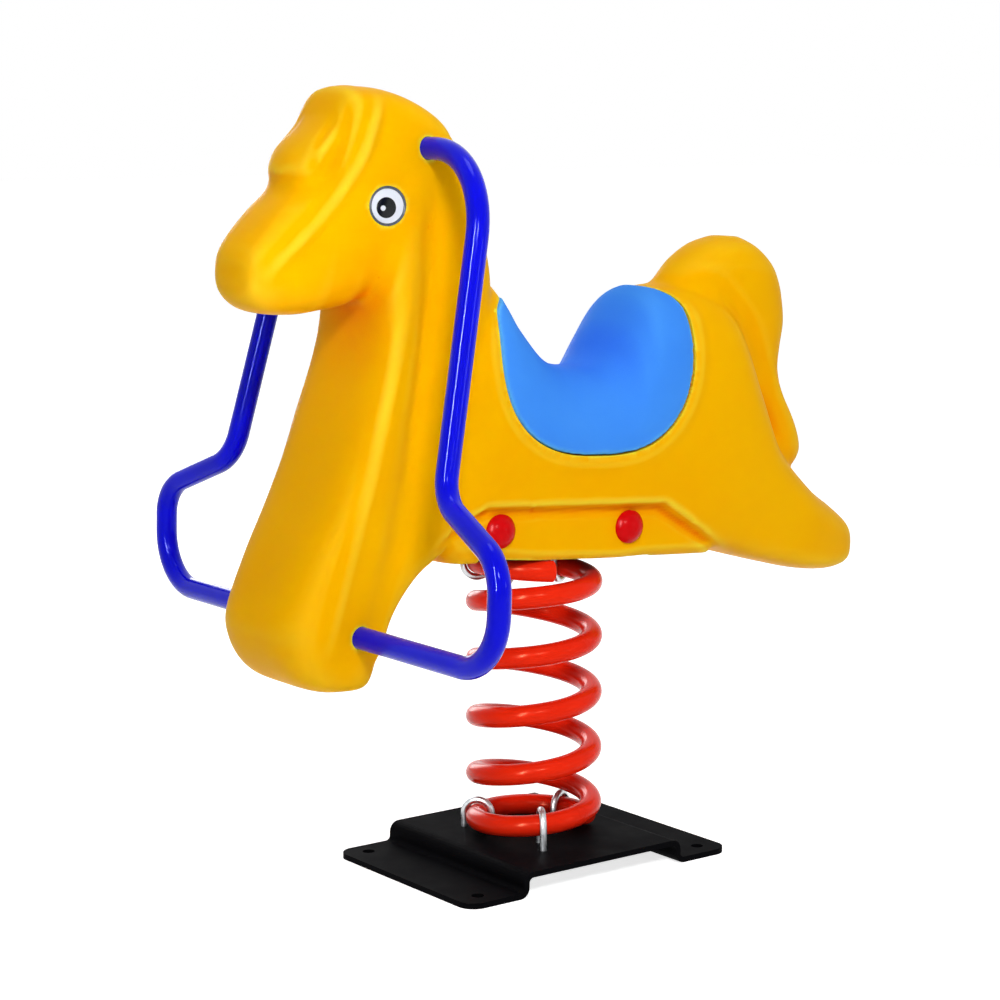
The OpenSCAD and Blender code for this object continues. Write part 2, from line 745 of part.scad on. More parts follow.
module eye_whites() {
  color("#f4f6fa")
    on_rider()
      both_sides()
        at_eye() {
          difference() {
            cross_bar(eye_white_d, eye_floor_t, eye_white_t);
            translate([pupil_ahead, 0, -pupil_drop])
              cross_bar(pupil_d + 2 * thread_gap, eye_floor_t + eye_white_t - pupil_t, eye_white_t);
          }
        }
}

module eye_pupils() {
  color("#0d0f14")
    on_rider()
      both_sides()
        at_eye()
          translate([pupil_ahead, 0, -pupil_drop])
            cross_bar(pupil_d, eye_floor_t + eye_white_t - pupil_t, 2 * pupil_t);
}

module at_belly_bolts() {
  for (x = belly_bolt_xs)
    translate([x, 0, belly_bolt_z]) children();
}

module belly_bolts() {
  color("#b9bdc1")
    on_rider()
      at_belly_bolts() {
        cross_bar(belly_bolt_d, -belly_tip_y, belly_tip_y + belly_head_y);
        translate([0, belly_head_y, 0])
          rotate([-90, 0, 0])
            cylinder(d = belly_head_d, h = belly_head_h, $fn = 6);
      }
}

module belly_spacers() {
  l = bracket_w - 2 * bracket_t - 2 * seat_gap;
  color("#8f9498")
    on_rider()
      at_belly_bolts()
        difference() {
          cross_bar(spacer_d, -l / 2, l);
          cross_bar(belly_bolt_d + 2 * hole_gap, -l, 2 * l);
        }
}

module belly_washers() {
  color("#aeb2b6")
    on_rider()
      both_sides()
        at_belly_bolts()
          translate([0, belly_washer_y, 0])
            rotate([-90, 0, 0])
              ring(belly_washer_d, belly_bolt_d + 2 * hole_gap, belly_washer_t);
}

module belly_nuts() {
  color("#b9bdc1")
    on_rider()
      at_belly_bolts()
        translate([0, -belly_head_y, 0])
          rotate([90, 0, 0])
            hex_nut(belly_head_d, belly_bolt_d + 2 * thread_gap, belly_head_h);
}

module cap_bases() {
  color("#b80a12")
    on_rider()
      both_sides()
        at_belly_bolts()
          translate([0, belly_w / 2, 0])
            rotate([-90, 0, 0])
              ring(cap_d, belly_bolt_d + 2 * hole_gap, cap_base_t);
}

// Half of a spherical cap standing on a short skirt, seen in section
module cap_section(d, rise, skirt) {
  r = (d * d / 4 + rise * rise) / (2 * rise);
  intersection() {
    translate([0, skirt + rise - r]) circle(r = r);
    square([d / 2, skirt + rise]);
  }
}

// A hollow dome that snaps on the cap's base over the bolt's head
module cap_domes() {
  skirt = cap_h * cap_skirt_share;
  rise = cap_h - skirt;
  color("#dc1018")
    on_rider()
      both_sides()
        at_belly_bolts()
          translate([0, belly_washer_y, 0])
            rotate([-90, 0, 0])
              rotate_extrude()
                difference() {
                  cap_section(cap_d, rise, skirt);
                  cap_section(cap_d - 2 * cap_wall, rise - cap_wall, skirt);
                }
}

base_plate();
lower_clamps();
lower_clamp_washers();
lower_clamp_nuts();
coil_spring();
rider_bracket();
upper_clamps();
upper_clamp_washers();
upper_clamp_nuts();
horse_shell();
saddle_seat();
seat_bolts();
left_handle();
right_handle();
upper_handle_sleeve();
lower_handle_sleeve();
eye_rims();
eye_whites();
eye_pupils();
belly_bolts();
belly_spacers();
belly_washers();
belly_nuts();
cap_bases();
cap_domes();
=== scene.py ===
import math
import bmesh
import bpy
import numpy as np
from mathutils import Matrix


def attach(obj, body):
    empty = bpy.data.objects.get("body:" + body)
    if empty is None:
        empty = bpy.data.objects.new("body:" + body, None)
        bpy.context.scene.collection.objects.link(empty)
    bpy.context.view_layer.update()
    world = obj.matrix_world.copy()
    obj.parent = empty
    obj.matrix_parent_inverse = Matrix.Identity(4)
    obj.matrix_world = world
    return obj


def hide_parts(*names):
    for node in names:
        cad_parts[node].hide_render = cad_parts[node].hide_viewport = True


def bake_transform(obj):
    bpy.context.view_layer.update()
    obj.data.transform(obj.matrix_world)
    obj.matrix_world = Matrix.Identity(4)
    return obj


# Spring rider: moulded horse, saddle skin, bent handles, coil spring and pressed base plate.
# Lengths in the dictionaries are millimetres, as on the part's drawing; Blender gets metres.
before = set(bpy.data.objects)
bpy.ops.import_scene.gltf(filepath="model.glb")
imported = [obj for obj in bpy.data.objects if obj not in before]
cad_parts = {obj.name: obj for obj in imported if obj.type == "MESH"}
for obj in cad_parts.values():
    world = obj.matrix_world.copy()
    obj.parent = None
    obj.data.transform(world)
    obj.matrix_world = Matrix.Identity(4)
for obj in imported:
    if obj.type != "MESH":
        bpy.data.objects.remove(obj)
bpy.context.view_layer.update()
scene = bpy.context.scene
scene.view_settings.view_transform = "Standard"

cameraView = {
    "place": (1.6238, 2.0956, 0.7888),  # metres
    "turn": (81.17, 0.0, 142.99),  # degrees
    "lens": 93.74,
    "sensor": 36.0,
}
camera = bpy.data.objects.new("photoCamera", bpy.data.cameras.new("photoCamera"))
camera.location = cameraView["place"]
camera.rotation_euler = [math.radians(a) for a in cameraView["turn"]]
camera.data.lens = cameraView["lens"]
camera.data.sensor_width = cameraView["sensor"]
scene.collection.objects.link(camera)
scene.camera = camera
print("camera set")


# Colours, nodes and finishes

def tint(code):
    # Colour code as seen on a screen, turned into linear light
    parts = [int(code[i:i + 2], 16) / 255 for i in (1, 3, 5)]
    return [p / 12.92 if p <= 0.04045 else ((p + 0.055) / 1.055) ** 2.4 for p in parts] + [1.0]


def addNode(tree, kind, settings=None, links=None):
    made = tree.nodes.new(kind)
    for key, value in (settings or {}).items():
        if isinstance(key, str) and key in made.bl_rna.properties:
            setattr(made, key, value)
        else:
            made.inputs[key].default_value = value
    for key, source in (links or {}).items():
        tree.links.new(source, made.inputs[key])
    return made


def perMetre(millimetres):
    return 1000.0 / millimetres


# Spans that the textures really use: noise seldom leaves the first one and wear comes in the patches of the
# second; a flat skin has a pointiness of 0.5, ridges have more and creases less
noiseSpan = {"From Min": 0.3, "From Max": 0.7}
patchSpan = {"From Min": 0.35, "From Max": 0.75}
# The ridge span picks ridges for a painted highlight, the crease span creases for painted shade
ridgeHighlightSpan = {"From Min": 0.504, "From Max": 0.55}
creaseShadeSpan = {"From Min": 0.488, "From Max": 0.43}


def newFinish(name):
    finish = bpy.data.materials.new(name)
    finish.use_nodes = True
    tree = finish.node_tree
    tree.nodes.clear()
    shader = addNode(tree, "ShaderNodeBsdfPrincipled")
    addNode(tree, "ShaderNodeOutputMaterial", links={"Surface": shader.outputs[0]})
    where = addNode(tree, "ShaderNodeTexCoord").outputs["Object"]
    return finish, tree, shader, where


def mouldedPolyethylene(name, look):
    # Rotationally moulded polyethylene: satin skin with the mould's faint orange peel, powder-fine pores,
    # cloudy pigment, painted shade in hollows and creases, a painted highlight on ridges, and a soft glow
    # where lit from the side
    finish, tree, shader, where = newFinish(name)
    cloud = addNode(
        tree, "ShaderNodeTexNoise", {"Scale": perMetre(look["cloud"]), "Detail": 3.0}, {"Vector": where}
    )
    spread = addNode(tree, "ShaderNodeMapRange", noiseSpan, {"Value": cloud.outputs[0]})
    pigment = addNode(
        tree, "ShaderNodeMix",
        {"data_type": "RGBA", 6: tint(look["colour"]), 7: tint(look["shade"])},
        {0: spread.outputs[0]},
    )
    # Painted shade: ambient occlusion within the hollow reach and the pointiness of creases mix in a darker
    # colour
    openness = addNode(
        tree, "ShaderNodeAmbientOcclusion",
        {"samples": 6, "only_local": True, "Distance": look["hollow"] / 1000},
    )
    depth = addNode(
        tree, "ShaderNodeMapRange", {"From Min": look["closing"][0], "From Max": look["closing"][1]},
        {"Value": openness.outputs["AO"]},
    )
    sharpness = addNode(tree, "ShaderNodeNewGeometry").outputs["Pointiness"]
    paintedRidgeHighlight = addNode(tree, "ShaderNodeMapRange", ridgeHighlightSpan, {"Value": sharpness})
    creaseShadeAmount = addNode(tree, "ShaderNodeMapRange", creaseShadeSpan, {"Value": sharpness})
    paintedShadeAmount = addNode(
        tree, "ShaderNodeMath", {"operation": "MAXIMUM"}, {0: depth.outputs[0], 1: creaseShadeAmount.outputs[0]}
    )
    withPaintedShade = addNode(
        tree, "ShaderNodeMix",
        {"data_type": "RGBA", 7: tint(look["paintedShadeColour"])},
        {0: paintedShadeAmount.outputs[0], 6: pigment.outputs[2]},
    )
    # Painted highlight: the pointiness of sharp ridges mixes in a lighter colour
    body = addNode(
        tree, "ShaderNodeMix",
        {"data_type": "RGBA", 7: tint(look["paintedHighlightColour"])},
        {0: paintedRidgeHighlight.outputs[0], 6: withPaintedShade.outputs[2]},
    )
    gloss = addNode(
        tree, "ShaderNodeTexNoise", {"Scale": perMetre(look["gloss"]), "Detail": 4.0}, {"Vector": where}
    )
    rough = addNode(
        tree, "ShaderNodeMapRange",
        {**noiseSpan, "To Min": look["rough"][0], "To Max": look["rough"][1]},
        {"Value": gloss.outputs[0]},
    )
    peel = addNode(
        tree, "ShaderNodeTexNoise", {"Scale": perMetre(look["peel"]), "Detail": 1.0}, {"Vector": where}
    )
    pores = addNode(
        tree, "ShaderNodeTexNoise", {"Scale": perMetre(look["pores"]), "Detail": 2.0}, {"Vector": where}
    )
    peelBump = addNode(
        tree, "ShaderNodeBump", {"Strength": look["peelBump"], "Distance": look["peelDepth"] / 1000},
        {"Height": peel.outputs[0]},
    )
    poreBump = addNode(
        tree, "ShaderNodeBump", {"Strength": look["poreBump"], "Distance": look["poreDepth"] / 1000},
        {"Height": pores.outputs[0], "Normal": peelBump.outputs[0]},
    )
    tree.links.new(body.outputs[2], shader.inputs["Base Color"])
    tree.links.new(rough.outputs[0], shader.inputs["Roughness"])
    tree.links.new(poreBump.outputs[0], shader.inputs["Normal"])
    shader.inputs["IOR"].default_value = 1.51
    shader.inputs["Specular IOR Level"].default_value = look["sheen"]
    shader.inputs["Specular Tint"].default_value = tint(look["glint"])
    shader.inputs["Subsurface Weight"].default_value = look["glow"]
    shader.inputs["Subsurface Radius"].default_value = look["glowReach"]
    shader.inputs["Subsurface Scale"].default_value = look["glowDepth"] / 1000
    return finish


def powderCoat(name, look):
    # Powder coat baked on steel: thick skin with a pebbled flow texture, duller where hands, shoes and dust
    # have been
    finish, tree, shader, where = newFinish(name)
    wear = addNode(
        tree, "ShaderNodeTexNoise", {"Scale": perMetre(look["wear"]), "Detail": 5.0}, {"Vector": where}
    )
    amount = addNode(tree, "ShaderNodeMapRange", patchSpan, {"Value": wear.outputs[0]})
    colour = addNode(
        tree, "ShaderNodeMix",
        {"data_type": "RGBA", 6: tint(look["colour"]), 7: tint(look["worn"])},
        {0: amount.outputs[0]},
    )
    rough = addNode(
        tree, "ShaderNodeMapRange",
        {**patchSpan, "To Min": look["rough"][0], "To Max": look["rough"][1]},
        {"Value": wear.outputs[0]},
    )
    pebble = addNode(
        tree, "ShaderNodeTexNoise", {"Scale": perMetre(look["pebble"]), "Detail": 2.0}, {"Vector": where}
    )
    bump = addNode(
        tree, "ShaderNodeBump", {"Strength": look["bump"], "Distance": look["depth"] / 1000},
        {"Height": pebble.outputs[0]},
    )
    tree.links.new(colour.outputs[2], shader.inputs["Base Color"])
    tree.links.new(rough.outputs[0], shader.inputs["Roughness"])
    tree.links.new(bump.outputs[0], shader.inputs["Normal"])
    shader.inputs["IOR"].default_value = 1.5
    shader.inputs["Specular IOR Level"].default_value = look["sheen"]
    shader.inputs["Specular Tint"].default_value = tint(look["glint"])
    return finish


def zincPlatedSteel(name, look):
    # Zinc plating on drawn bar: bright reflections broken by a fine grain, and duller patches
    finish, tree, shader, where = newFinish(name)
    patch = addNode(tree, "ShaderNodeTexVoronoi", {"Scale": perMetre(look["spangle"])}, {"Vector": where})
    colour = addNode(
        tree, "ShaderNodeMix",
        {"data_type": "RGBA", 6: tint(look["colour"]), 7: tint(look["dull"])},
        {0: patch.outputs["Distance"]},
    )
    haze = addNode(
        tree, "ShaderNodeTexNoise", {"Scale": perMetre(look["haze"]), "Detail": 6.0}, {"Vector": where}
    )
    rough = addNode(
        tree, "ShaderNodeMapRange",
        {**noiseSpan, "To Min": look["rough"][0], "To Max": look["rough"][1]},
        {"Value": haze.outputs[0]},
    )
    bump = addNode(
        tree, "ShaderNodeBump", {"Strength": look["bump"], "Distance": look["depth"] / 1000},
        {"Height": haze.outputs[0]},
    )
    tree.links.new(colour.outputs[2], shader.inputs["Base Color"])
    tree.links.new(rough.outputs[0], shader.inputs["Roughness"])
    tree.links.new(bump.outputs[0], shader.inputs["Normal"])
    shader.inputs["Metallic"].default_value = 1.0
    return finish


def glossPlastic(name, look):
    # Injection-moulded gloss plastic: clean colour, tight highlight, a breath of handling haze
    finish, tree, shader, where = newFinish(name)
    haze = addNode(
        tree, "ShaderNodeTexNoise", {"Scale": perMetre(look["haze"]), "Detail": 4.0}, {"Vector": where}
    )
    colour = addNode(
        tree, "ShaderNodeMix",
        {"data_type": "RGBA", 6: tint(look["colour"]), 7: tint(look["shade"])},
        {0: haze.outputs[0]},
    )
    rough = addNode(
        tree, "ShaderNodeMapRange",
        {**noiseSpan, "To Min": look["rough"][0], "To Max": look["rough"][1]},
        {"Value": haze.outputs[0]},
    )
    tree.links.new(colour.outputs[2], shader.inputs["Base Color"])
    tree.links.new(rough.outputs[0], shader.inputs["Roughness"])
    shader.inputs["IOR"].default_value = 1.49
    shader.inputs["Specular IOR Level"].default_value = look["sheen"]
    shader.inputs["Specular Tint"].default_value = tint(look["glint"])
    return finish


# In each polyethylene the third colour is painted shade for hollows and creases, the fourth a painted
# highlight on ridges
yellowPolyethylene = mouldedPolyethylene("yellowRotomouldedPolyethylene", {
    "colour": "#FFBB00", "shade": "#FCB200", "paintedShadeColour": "#E86400", "paintedHighlightColour": "#FFE63C", "hollow": 80,
    "closing": (0.9, 0.3), "cloud": 120, "gloss": 40, "rough": (0.36, 0.46),
    "peel": 16, "peelBump": 0.35, "peelDepth": 0.5,
    "pores": 1.8, "poreBump": 0.25, "poreDepth": 0.08,  # pores drawn coarser than real, to show
    "glow": 0.15, "glowReach": (1.0, 0.3, 0.03), "glowDepth": 6, "sheen": 0.025, "glint": "#FFDC28",
})
bluePolyethylene = mouldedPolyethylene("blueRotomouldedPolyethylene", {
    "colour": "#4698FF", "shade": "#4090FC", "paintedShadeColour": "#1C4CFF", "paintedHighlightColour": "#62B8FF", "hollow": 130,
    "closing": (0.97, 0.55), "cloud": 90, "gloss": 35, "rough": (0.5, 0.6),
    "peel": 14, "peelBump": 0.35, "peelDepth": 0.4, "pores": 1.6, "poreBump": 0.25, "poreDepth": 0.08,
    "glow": 0.05, "glowReach": (0.2, 0.4, 1.0), "glowDepth": 6, "sheen": 0.025, "glint": "#8CC6FF",
})
blueEnamel = powderCoat("deepBluePowderCoatedTube", {
    "colour": "#0505DE", "worn": "#0808CC", "wear": 60, "rough": (0.06, 0.12), "pebble": 2.2,
    "bump": 0.06, "depth": 0.12, "sheen": 0.22, "glint": "#8C98FF",
})
redEnamel = powderCoat("redPowderCoatedSpringSteel", {
    "colour": "#F62C10", "worn": "#EC260E", "wear": 45, "rough": (0.18, 0.3), "pebble": 2.4,
    "bump": 0.14, "depth": 0.14, "sheen": 0.16, "glint": "#FF9C78",
})
blackPowder = powderCoat("blackTexturedPowderCoatedPlate", {
    "colour": "#060608", "worn": "#0C0C0F", "wear": 38, "rough": (0.5, 0.66), "pebble": 1.3,
    "bump": 0.35, "depth": 0.2, "sheen": 0.01, "glint": "#FFFFFF",
})
bracketPaint = powderCoat("blackPaintedChannelSteel", {
    "colour": "#121315", "worn": "#1C1D20", "wear": 30, "rough": (0.45, 0.62), "pebble": 3.0,
    "bump": 0.2, "depth": 0.2, "sheen": 0.2, "glint": "#FFFFFF",
})
zincBar = zincPlatedSteel("zincPlatedClampBar", {
    "colour": "#D6D9DB", "dull": "#A9ADB1", "spangle": 5, "haze": 7, "rough": (0.24, 0.42),
    "bump": 0.2, "depth": 0.2,
})
plainSteel = zincPlatedSteel("plainDrawnSteelTube", {
    "colour": "#A6A8AA", "dull": "#8C8E90", "spangle": 12, "haze": 9, "rough": (0.35, 0.5),
    "bump": 0.2, "depth": 0.2,
})
capPlastic = glossPlastic("redGlossPolypropyleneCap", {
    "colour": "#DC0A10", "shade": "#CE080E", "haze": 12, "rough": (0.16, 0.26),
    "sheen": 0.1, "glint": "#FFB4B4",
})
eyeRimPlastic = glossPlastic("darkGlossEyeRim", {
    "colour": "#525B6C", "shade": "#464E5E", "haze": 8, "rough": (0.18, 0.28),
    "sheen": 0.4, "glint": "#FFFFFF",
})
eyeWhitePlastic = glossPlastic("whiteGlossEye", {
    "colour": "#EEF2FA", "shade": "#E6EBF5", "haze": 10, "rough": (0.14, 0.22),
    "sheen": 0.4, "glint": "#FFFFFF",
})
eyePupilPlastic = glossPlastic("blackGlossPupil", {
    "colour": "#07090D", "shade": "#0C0F15", "haze": 6, "rough": (0.12, 0.2),
    "sheen": 0.3, "glint": "#FFFFFF",
})
print("finishes made")


# Shapes in the rider's own frame, which leans back on the spring

riderSeat = {"height": 322.6, "lean": 4.0}
leanCos = math.cos(math.radians(riderSeat["lean"]))
leanSin = math.sin(math.radians(riderSeat["lean"]))


def toFrame(points):
    p = np.asarray(points, float)
    return np.stack([
        p[:, 0] * leanCos - p[:, 2] * leanSin,
        p[:, 1],
        riderSeat["height"] + p[:, 0] * leanSin + p[:, 2] * leanCos,
    ], axis=1) / 1000


def toRider(points):
    p = np.asarray(points, float) * 1000
    h = p[:, 2] - riderSeat["height"]
    return np.stack([p[:, 0] * leanCos + h * leanSin, p[:, 1], h * leanCos - p[:, 0] * leanSin], axis=1)


def addPiece(name, points, faces, finish=None):
    mesh = bpy.data.meshes.new(name)
    mesh.from_pydata([tuple(p) for p in points], [], [tuple(f) for f in faces])
    work = bmesh.new()
    work.from_mesh(mesh)
    bmesh.ops.recalc_face_normals(work, faces=work.faces)
    work.to_mesh(mesh)
    work.free()
    made = bpy.data.objects.new(name, mesh)
    scene.collection.objects.link(made)
    if finish:
        mesh.materials.append(finish)
    return made


def skinOf(rings, capped=True):
    rings = np.asarray(rings, float)
    count, size = rings.shape[:2]
    points = list(rings.reshape(-1, 3))
    faces = []
    for k in range(count - 1):
        for i in range(size):
            j = (i + 1) % size
            faces.append((k * size + i, (k + 1) * size + i, (k + 1) * size + j, k * size + j))
    if capped:
        points += [rings[0].mean(0), rings[-1].mean(0)]
        last = (count - 1) * size
        for i in range(size):
            j = (i + 1) % size
            faces.append((len(points) - 2, i, j))
            faces.append((len(points) - 1, last + j, last + i))
    return points, faces


def joined(*skins):
    points, faces = [], []
    for skinPoints, skinFaces in skins:
        start = len(points)
        points += list(skinPoints)
        faces += [tuple(i + start for i in f) for f in skinFaces]
    return points, faces


def splined(rows, steps):
    rows = np.asarray(rows, float)
    last = len(rows) - 1
    found = []
    for i in range(last):
        a, b, c, d = rows[max(i - 1, 0)], rows[i], rows[i + 1], rows[min(i + 2, last)]
        for k in range(steps):
            t = k / steps
            found.append(0.5 * (
                2 * b + (c - a) * t + (2 * a - 5 * b + 4 * c - d) * t * t + (3 * b - a - 3 * c + d) * t ** 3
            ))
    found.append(rows[last])
    return found


def around(count, roundness, turn=0.0):
    angle = np.radians(360 * (np.arange(count) + 0.5) / count + turn)
    c, s = np.cos(angle), np.sin(angle)
    power = np.where(s < 0, 2 / roundness[1], 2 / roundness[0])
    return np.sign(c) * np.abs(c) ** power, np.sign(s) * np.abs(s) ** power


def levelSkin(rows, roundness, points=72, steps=5):
    c, s = around(points, roundness, 90)
    rings = [
        np.stack([(r[1] + r[2]) / 2 + (r[1] - r[2]) / 2 * s, -r[3] * c, np.full(points, r[0])], axis=1)
        for r in splined(rows, steps)
    ]
    return skinOf(rings)


def uprightSkin(rows, roundness, points=72, steps=6):
    c, s = around(points, roundness)
    rings = [
        np.stack([np.full(points, r[0]), -r[3] * c, (r[1] + r[2]) / 2 + (r[1] - r[2]) / 2 * s], axis=1)
        for r in splined(rows, steps)
    ]
    return skinOf(rings)


def barAlong(path, radius, sides, chamfer=0.0):
    path = np.asarray(path, float)
    along = np.gradient(path, axis=0)
    along /= np.linalg.norm(along, axis=1)[:, None]
    steep = abs(along[0][2]) >= 0.9
    side = np.cross(along[0], (1.0, 0.0, 0.0) if steep else (0.0, 0.0, 1.0))
    angle = 2 * math.pi * np.arange(sides) / sides
    rings = []
    for p, a in zip(path, along):
        side = side - a * (side @ a)
        side /= np.linalg.norm(side)
        up = np.cross(a, side)
        rings.append(p + radius * (np.cos(angle)[:, None] * side + np.sin(angle)[:, None] * up))
    if chamfer:
        first, last = rings[0], rings[-1]
        narrow = 1 - chamfer / radius
        rings[0] = first + chamfer * along[0]
        rings[-1] = last - chamfer * along[-1]
        rings = [path[0] + (first - path[0]) * narrow] + rings + [path[-1] + (last - path[-1]) * narrow]
    return skinOf(rings)


def lathed(profile, centre, oval, sides=64):
    angle = 2 * math.pi * np.arange(sides) / sides
    across, up = oval[0] * np.cos(angle), oval[1] * np.sin(angle)
    rings = [
        np.stack([r * across + centre[0], np.full(sides, centre[1] + y), r * up + centre[2]], axis=1)
        for r, y in profile
    ]
    near = skinOf(rings)
    far = [np.array([p[0], -p[1], p[2]]) for p in near[0]], near[1]
    return joined(near, far)


def settle(piece):
    # Bakes the modifiers into the piece's own mesh
    depsgraph = bpy.context.evaluated_depsgraph_get()
    done = bpy.data.meshes.new_from_object(piece.evaluated_get(depsgraph))
    piece.modifiers.clear()
    piece.data = done
    return piece


def withVoxels(piece, size, relax):
    voxels = piece.modifiers.new("voxels", "REMESH")
    voxels.mode = "VOXEL"
    voxels.voxel_size = size / 1000
    settle(piece)
    return relaxed(piece, relax)


def relaxed(piece, passes):
    # Smooths the steps of the voxels away; the second modifier gives back what the first one shrinks
    for name, factor in (("shrink", 0.5), ("swell", -0.52)):
        step = piece.modifiers.new(name, "SMOOTH")
        step.factor = factor
        step.iterations = passes
    return settle(piece)


def softened(piece, passes, shares=None, leastShare=0.01):
    soften = piece.modifiers.new("soften", "SMOOTH")
    soften.factor = 0.5
    soften.iterations = passes
    if shares is not None:
        group = piece.vertex_groups.new(name="soft")
        for i in np.nonzero(shares > leastShare)[0]:
            group.add([int(i)], float(shares[i]), "REPLACE")
        soften.vertex_group = "soft"
    settle(piece)
    piece.vertex_groups.clear()
    return piece


def filledIn(piece, passes, shares, easing=0.0005):
    # Softens valleys only: the skin moves outwards or stays, and moves smaller than the easing are held back
    before, outward = vertices(piece), normalsOf(piece)
    move = vertices(softened(piece, passes, shares)) - before
    setVertices(piece, before + move * ramp((move * outward).sum(1), 0.0, easing)[:, None])


def cutBy(piece, tool, action="DIFFERENCE"):
    cut = piece.modifiers.new("cut", "BOOLEAN")
    cut.operation = action
    cut.solver = "EXACT"
    cut.object = tool
    return settle(piece)


def smoothSkin(piece, sharpAngle=40):
    piece.data.shade_smooth()
    piece.data.set_sharp_from_angle(angle=math.radians(sharpAngle))


def dropTool(*tools):
    for tool in tools:
        bpy.data.objects.remove(tool)


def vertices(piece):
    found = np.zeros(len(piece.data.vertices) * 3)
    piece.data.vertices.foreach_get("co", found)
    return found.reshape(-1, 3)


def setVertices(piece, points):
    piece.data.vertices.foreach_set("co", np.asarray(points, float).ravel())
    piece.data.update()


def ramp(value, low, high):
    t = np.clip((value - low) / (high - low), 0, 1)
    return t * t * (3 - 2 * t)


def fading(value, near, far):
    # One up to near, then softly down to nothing at far
    return ramp(-value, -far, -near)


def bell(value, middle, reach):
    return np.exp(-((value - middle) / reach) ** 2)


def nearLine(points, line, steps=4):
    # Distance to a curve, both sides of the rider folded onto the left, and the curve's strength there
    folded = np.column_stack([points[:, 0], np.abs(points[:, 1]), points[:, 2]])
    line = splined(line, steps)
    away, value = np.full(len(folded), np.inf), np.zeros(len(folded))
    for a, b in zip(line[:-1], line[1:]):
        run = (b - a)[:3]
        t = np.clip((folded - a[:3]) @ run / (run @ run), 0, 1)
        d = np.linalg.norm(folded - a[:3] - t[:, None] * run, axis=1)
        value = np.where(d < away, a[3] + t * (b[3] - a[3]), value)
        away = np.minimum(away, d)
    return away, value


def normalsOf(piece):
    found = np.zeros(len(piece.data.vertices) * 3)
    piece.data.vertices.foreach_get("normal", found)
    return found.reshape(-1, 3)


def raised(piece, heights):
    # Moves the skin along its own normals, by heights in millimetres
    setVertices(piece, vertices(piece) + normalsOf(piece) * np.asarray(heights)[:, None] / 1000)


# Horse: one hollow moulding, here as a closed skin

horse = {
    "chest": {"height": 460, "depth": 132, "width": 158, "x": 200, "footDrop": 120, "round": (3.8, 2.6)},
    "head": {"length": 222, "height": 212, "width": 122, "at": (-0.33, 0.79), "round": (3.4, 2.8)},
    "trunk": {"length": 598, "height": 282, "width": 156, "at": -0.08, "round": (2.6, 5.5), "least": 4},
    "tail": {"length": 147, "height": 256, "width": 88, "at": (-0.65, 0.28), "round": (2.4, 2.4)},
    "maneRound": (2.6, 2.8),
    "voxel": 3.4,
    "relax": 12,  # passes
    "settle": 3,  # passes after a form is pushed
    "fillSettle": 5,  # passes after a valley is filled
    "sharp": 50,  # degrees
}
# Chest band and mane, bottom up: height, front, back, width
chestShares = [
    [0.00, 0.66, 0.30, 0.60], [0.01, 0.79, 0.21, 0.80], [0.04, 0.92, 0.17, 0.92],
    [0.09, 1.02, 0.15, 0.98], [0.15, 1.04, 0.15, 1.00], [0.27, 0.89, 0.10, 1.00],
    [0.37, 0.73, 0.06, 1.00], [0.47, 0.59, 0.03, 0.98], [0.57, 0.48, 0.01, 0.95],
    [0.66, 0.38, -0.02, 0.92], [0.75, 0.33, -0.05, 0.89], [0.89, 0.34, -0.09, 0.84],
    [1.00, 0.34, -0.08, 0.76],
]
maneShares = [
    [0.01, 0.47, 0.27, 0.60], [0.08, 0.53, 0.17, 0.88], [0.15, 0.53, 0.09, 0.92],
    [0.20, 0.47, -0.01, 0.93], [0.25, 0.42, -0.17, 0.94], [0.30, 0.38, -0.42, 0.95],
    [0.37, 0.30, -0.55, 0.95], [0.57, 0.19, -0.66, 0.91], [0.75, 0.09, -0.74, 0.86],
    [0.89, 0.04, -0.72, 0.83], [1.02, 0.00, -0.55, 0.78], [1.13, 0.00, -0.38, 0.73],
    [1.17, -0.04, -0.28, 0.63], [1.19, -0.10, -0.23, 0.42],
]
# Head, poll to nose: length, top, bottom, width
headShares = [
    [0.00, 0.75, 0.68, 0.59], [0.03, 0.81, 0.61, 0.82], [0.08, 0.89, 0.50, 0.93],
    [0.15, 0.94, 0.38, 0.98], [0.25, 0.98, 0.24, 1.00], [0.36, 1.00, 0.10, 1.00],
    [0.48, 1.00, 0.03, 1.00], [0.55, 0.985, 0.01, 0.99], [0.61, 0.86, 0.00, 0.96],
    [0.66, 0.69, -0.01, 0.93], [0.73, 0.58, -0.02, 0.87], [0.82, 0.49, -0.02, 0.81],
    [0.92, 0.37, 0.00, 0.73], [0.98, 0.28, 0.05, 0.60], [1.00, 0.21, 0.12, 0.38],
]
# Trunk and hind leg, shoulder to foot: length, top, bottom, width
trunkShares = [
    [0.00, 0.85, 0.12, 0.80], [0.07, 0.97, 0.00, 0.90], [0.14, 1.01, 0.00, 0.94],
    [0.20, 0.86, 0.00, 0.96], [0.25, 0.75, 0.00, 0.97], [0.29, 0.70, 0.00, 0.97],
    [0.325, 0.685, 0.00, 0.97], [0.36, 0.68, 0.00, 0.98], [0.395, 0.69, 0.00, 0.99],
    [0.425, 0.74, 0.00, 1.00], [0.455, 0.86, 0.00, 1.00], [0.485, 0.96, 0.00, 1.00],
    [0.53, 0.99, 0.00, 1.00], [0.61, 1.00, 0.00, 1.00], [0.68, 0.93, 0.00, 0.97],
    [0.74, 0.69, -0.03, 0.92], [0.80, 0.44, -0.055, 0.87], [0.89, 0.26, -0.085, 0.80],
    [0.96, 0.17, -0.09, 0.68], [1.01, 0.10, -0.07, 0.52], [1.032, 0.03, -0.03, 0.27],
]
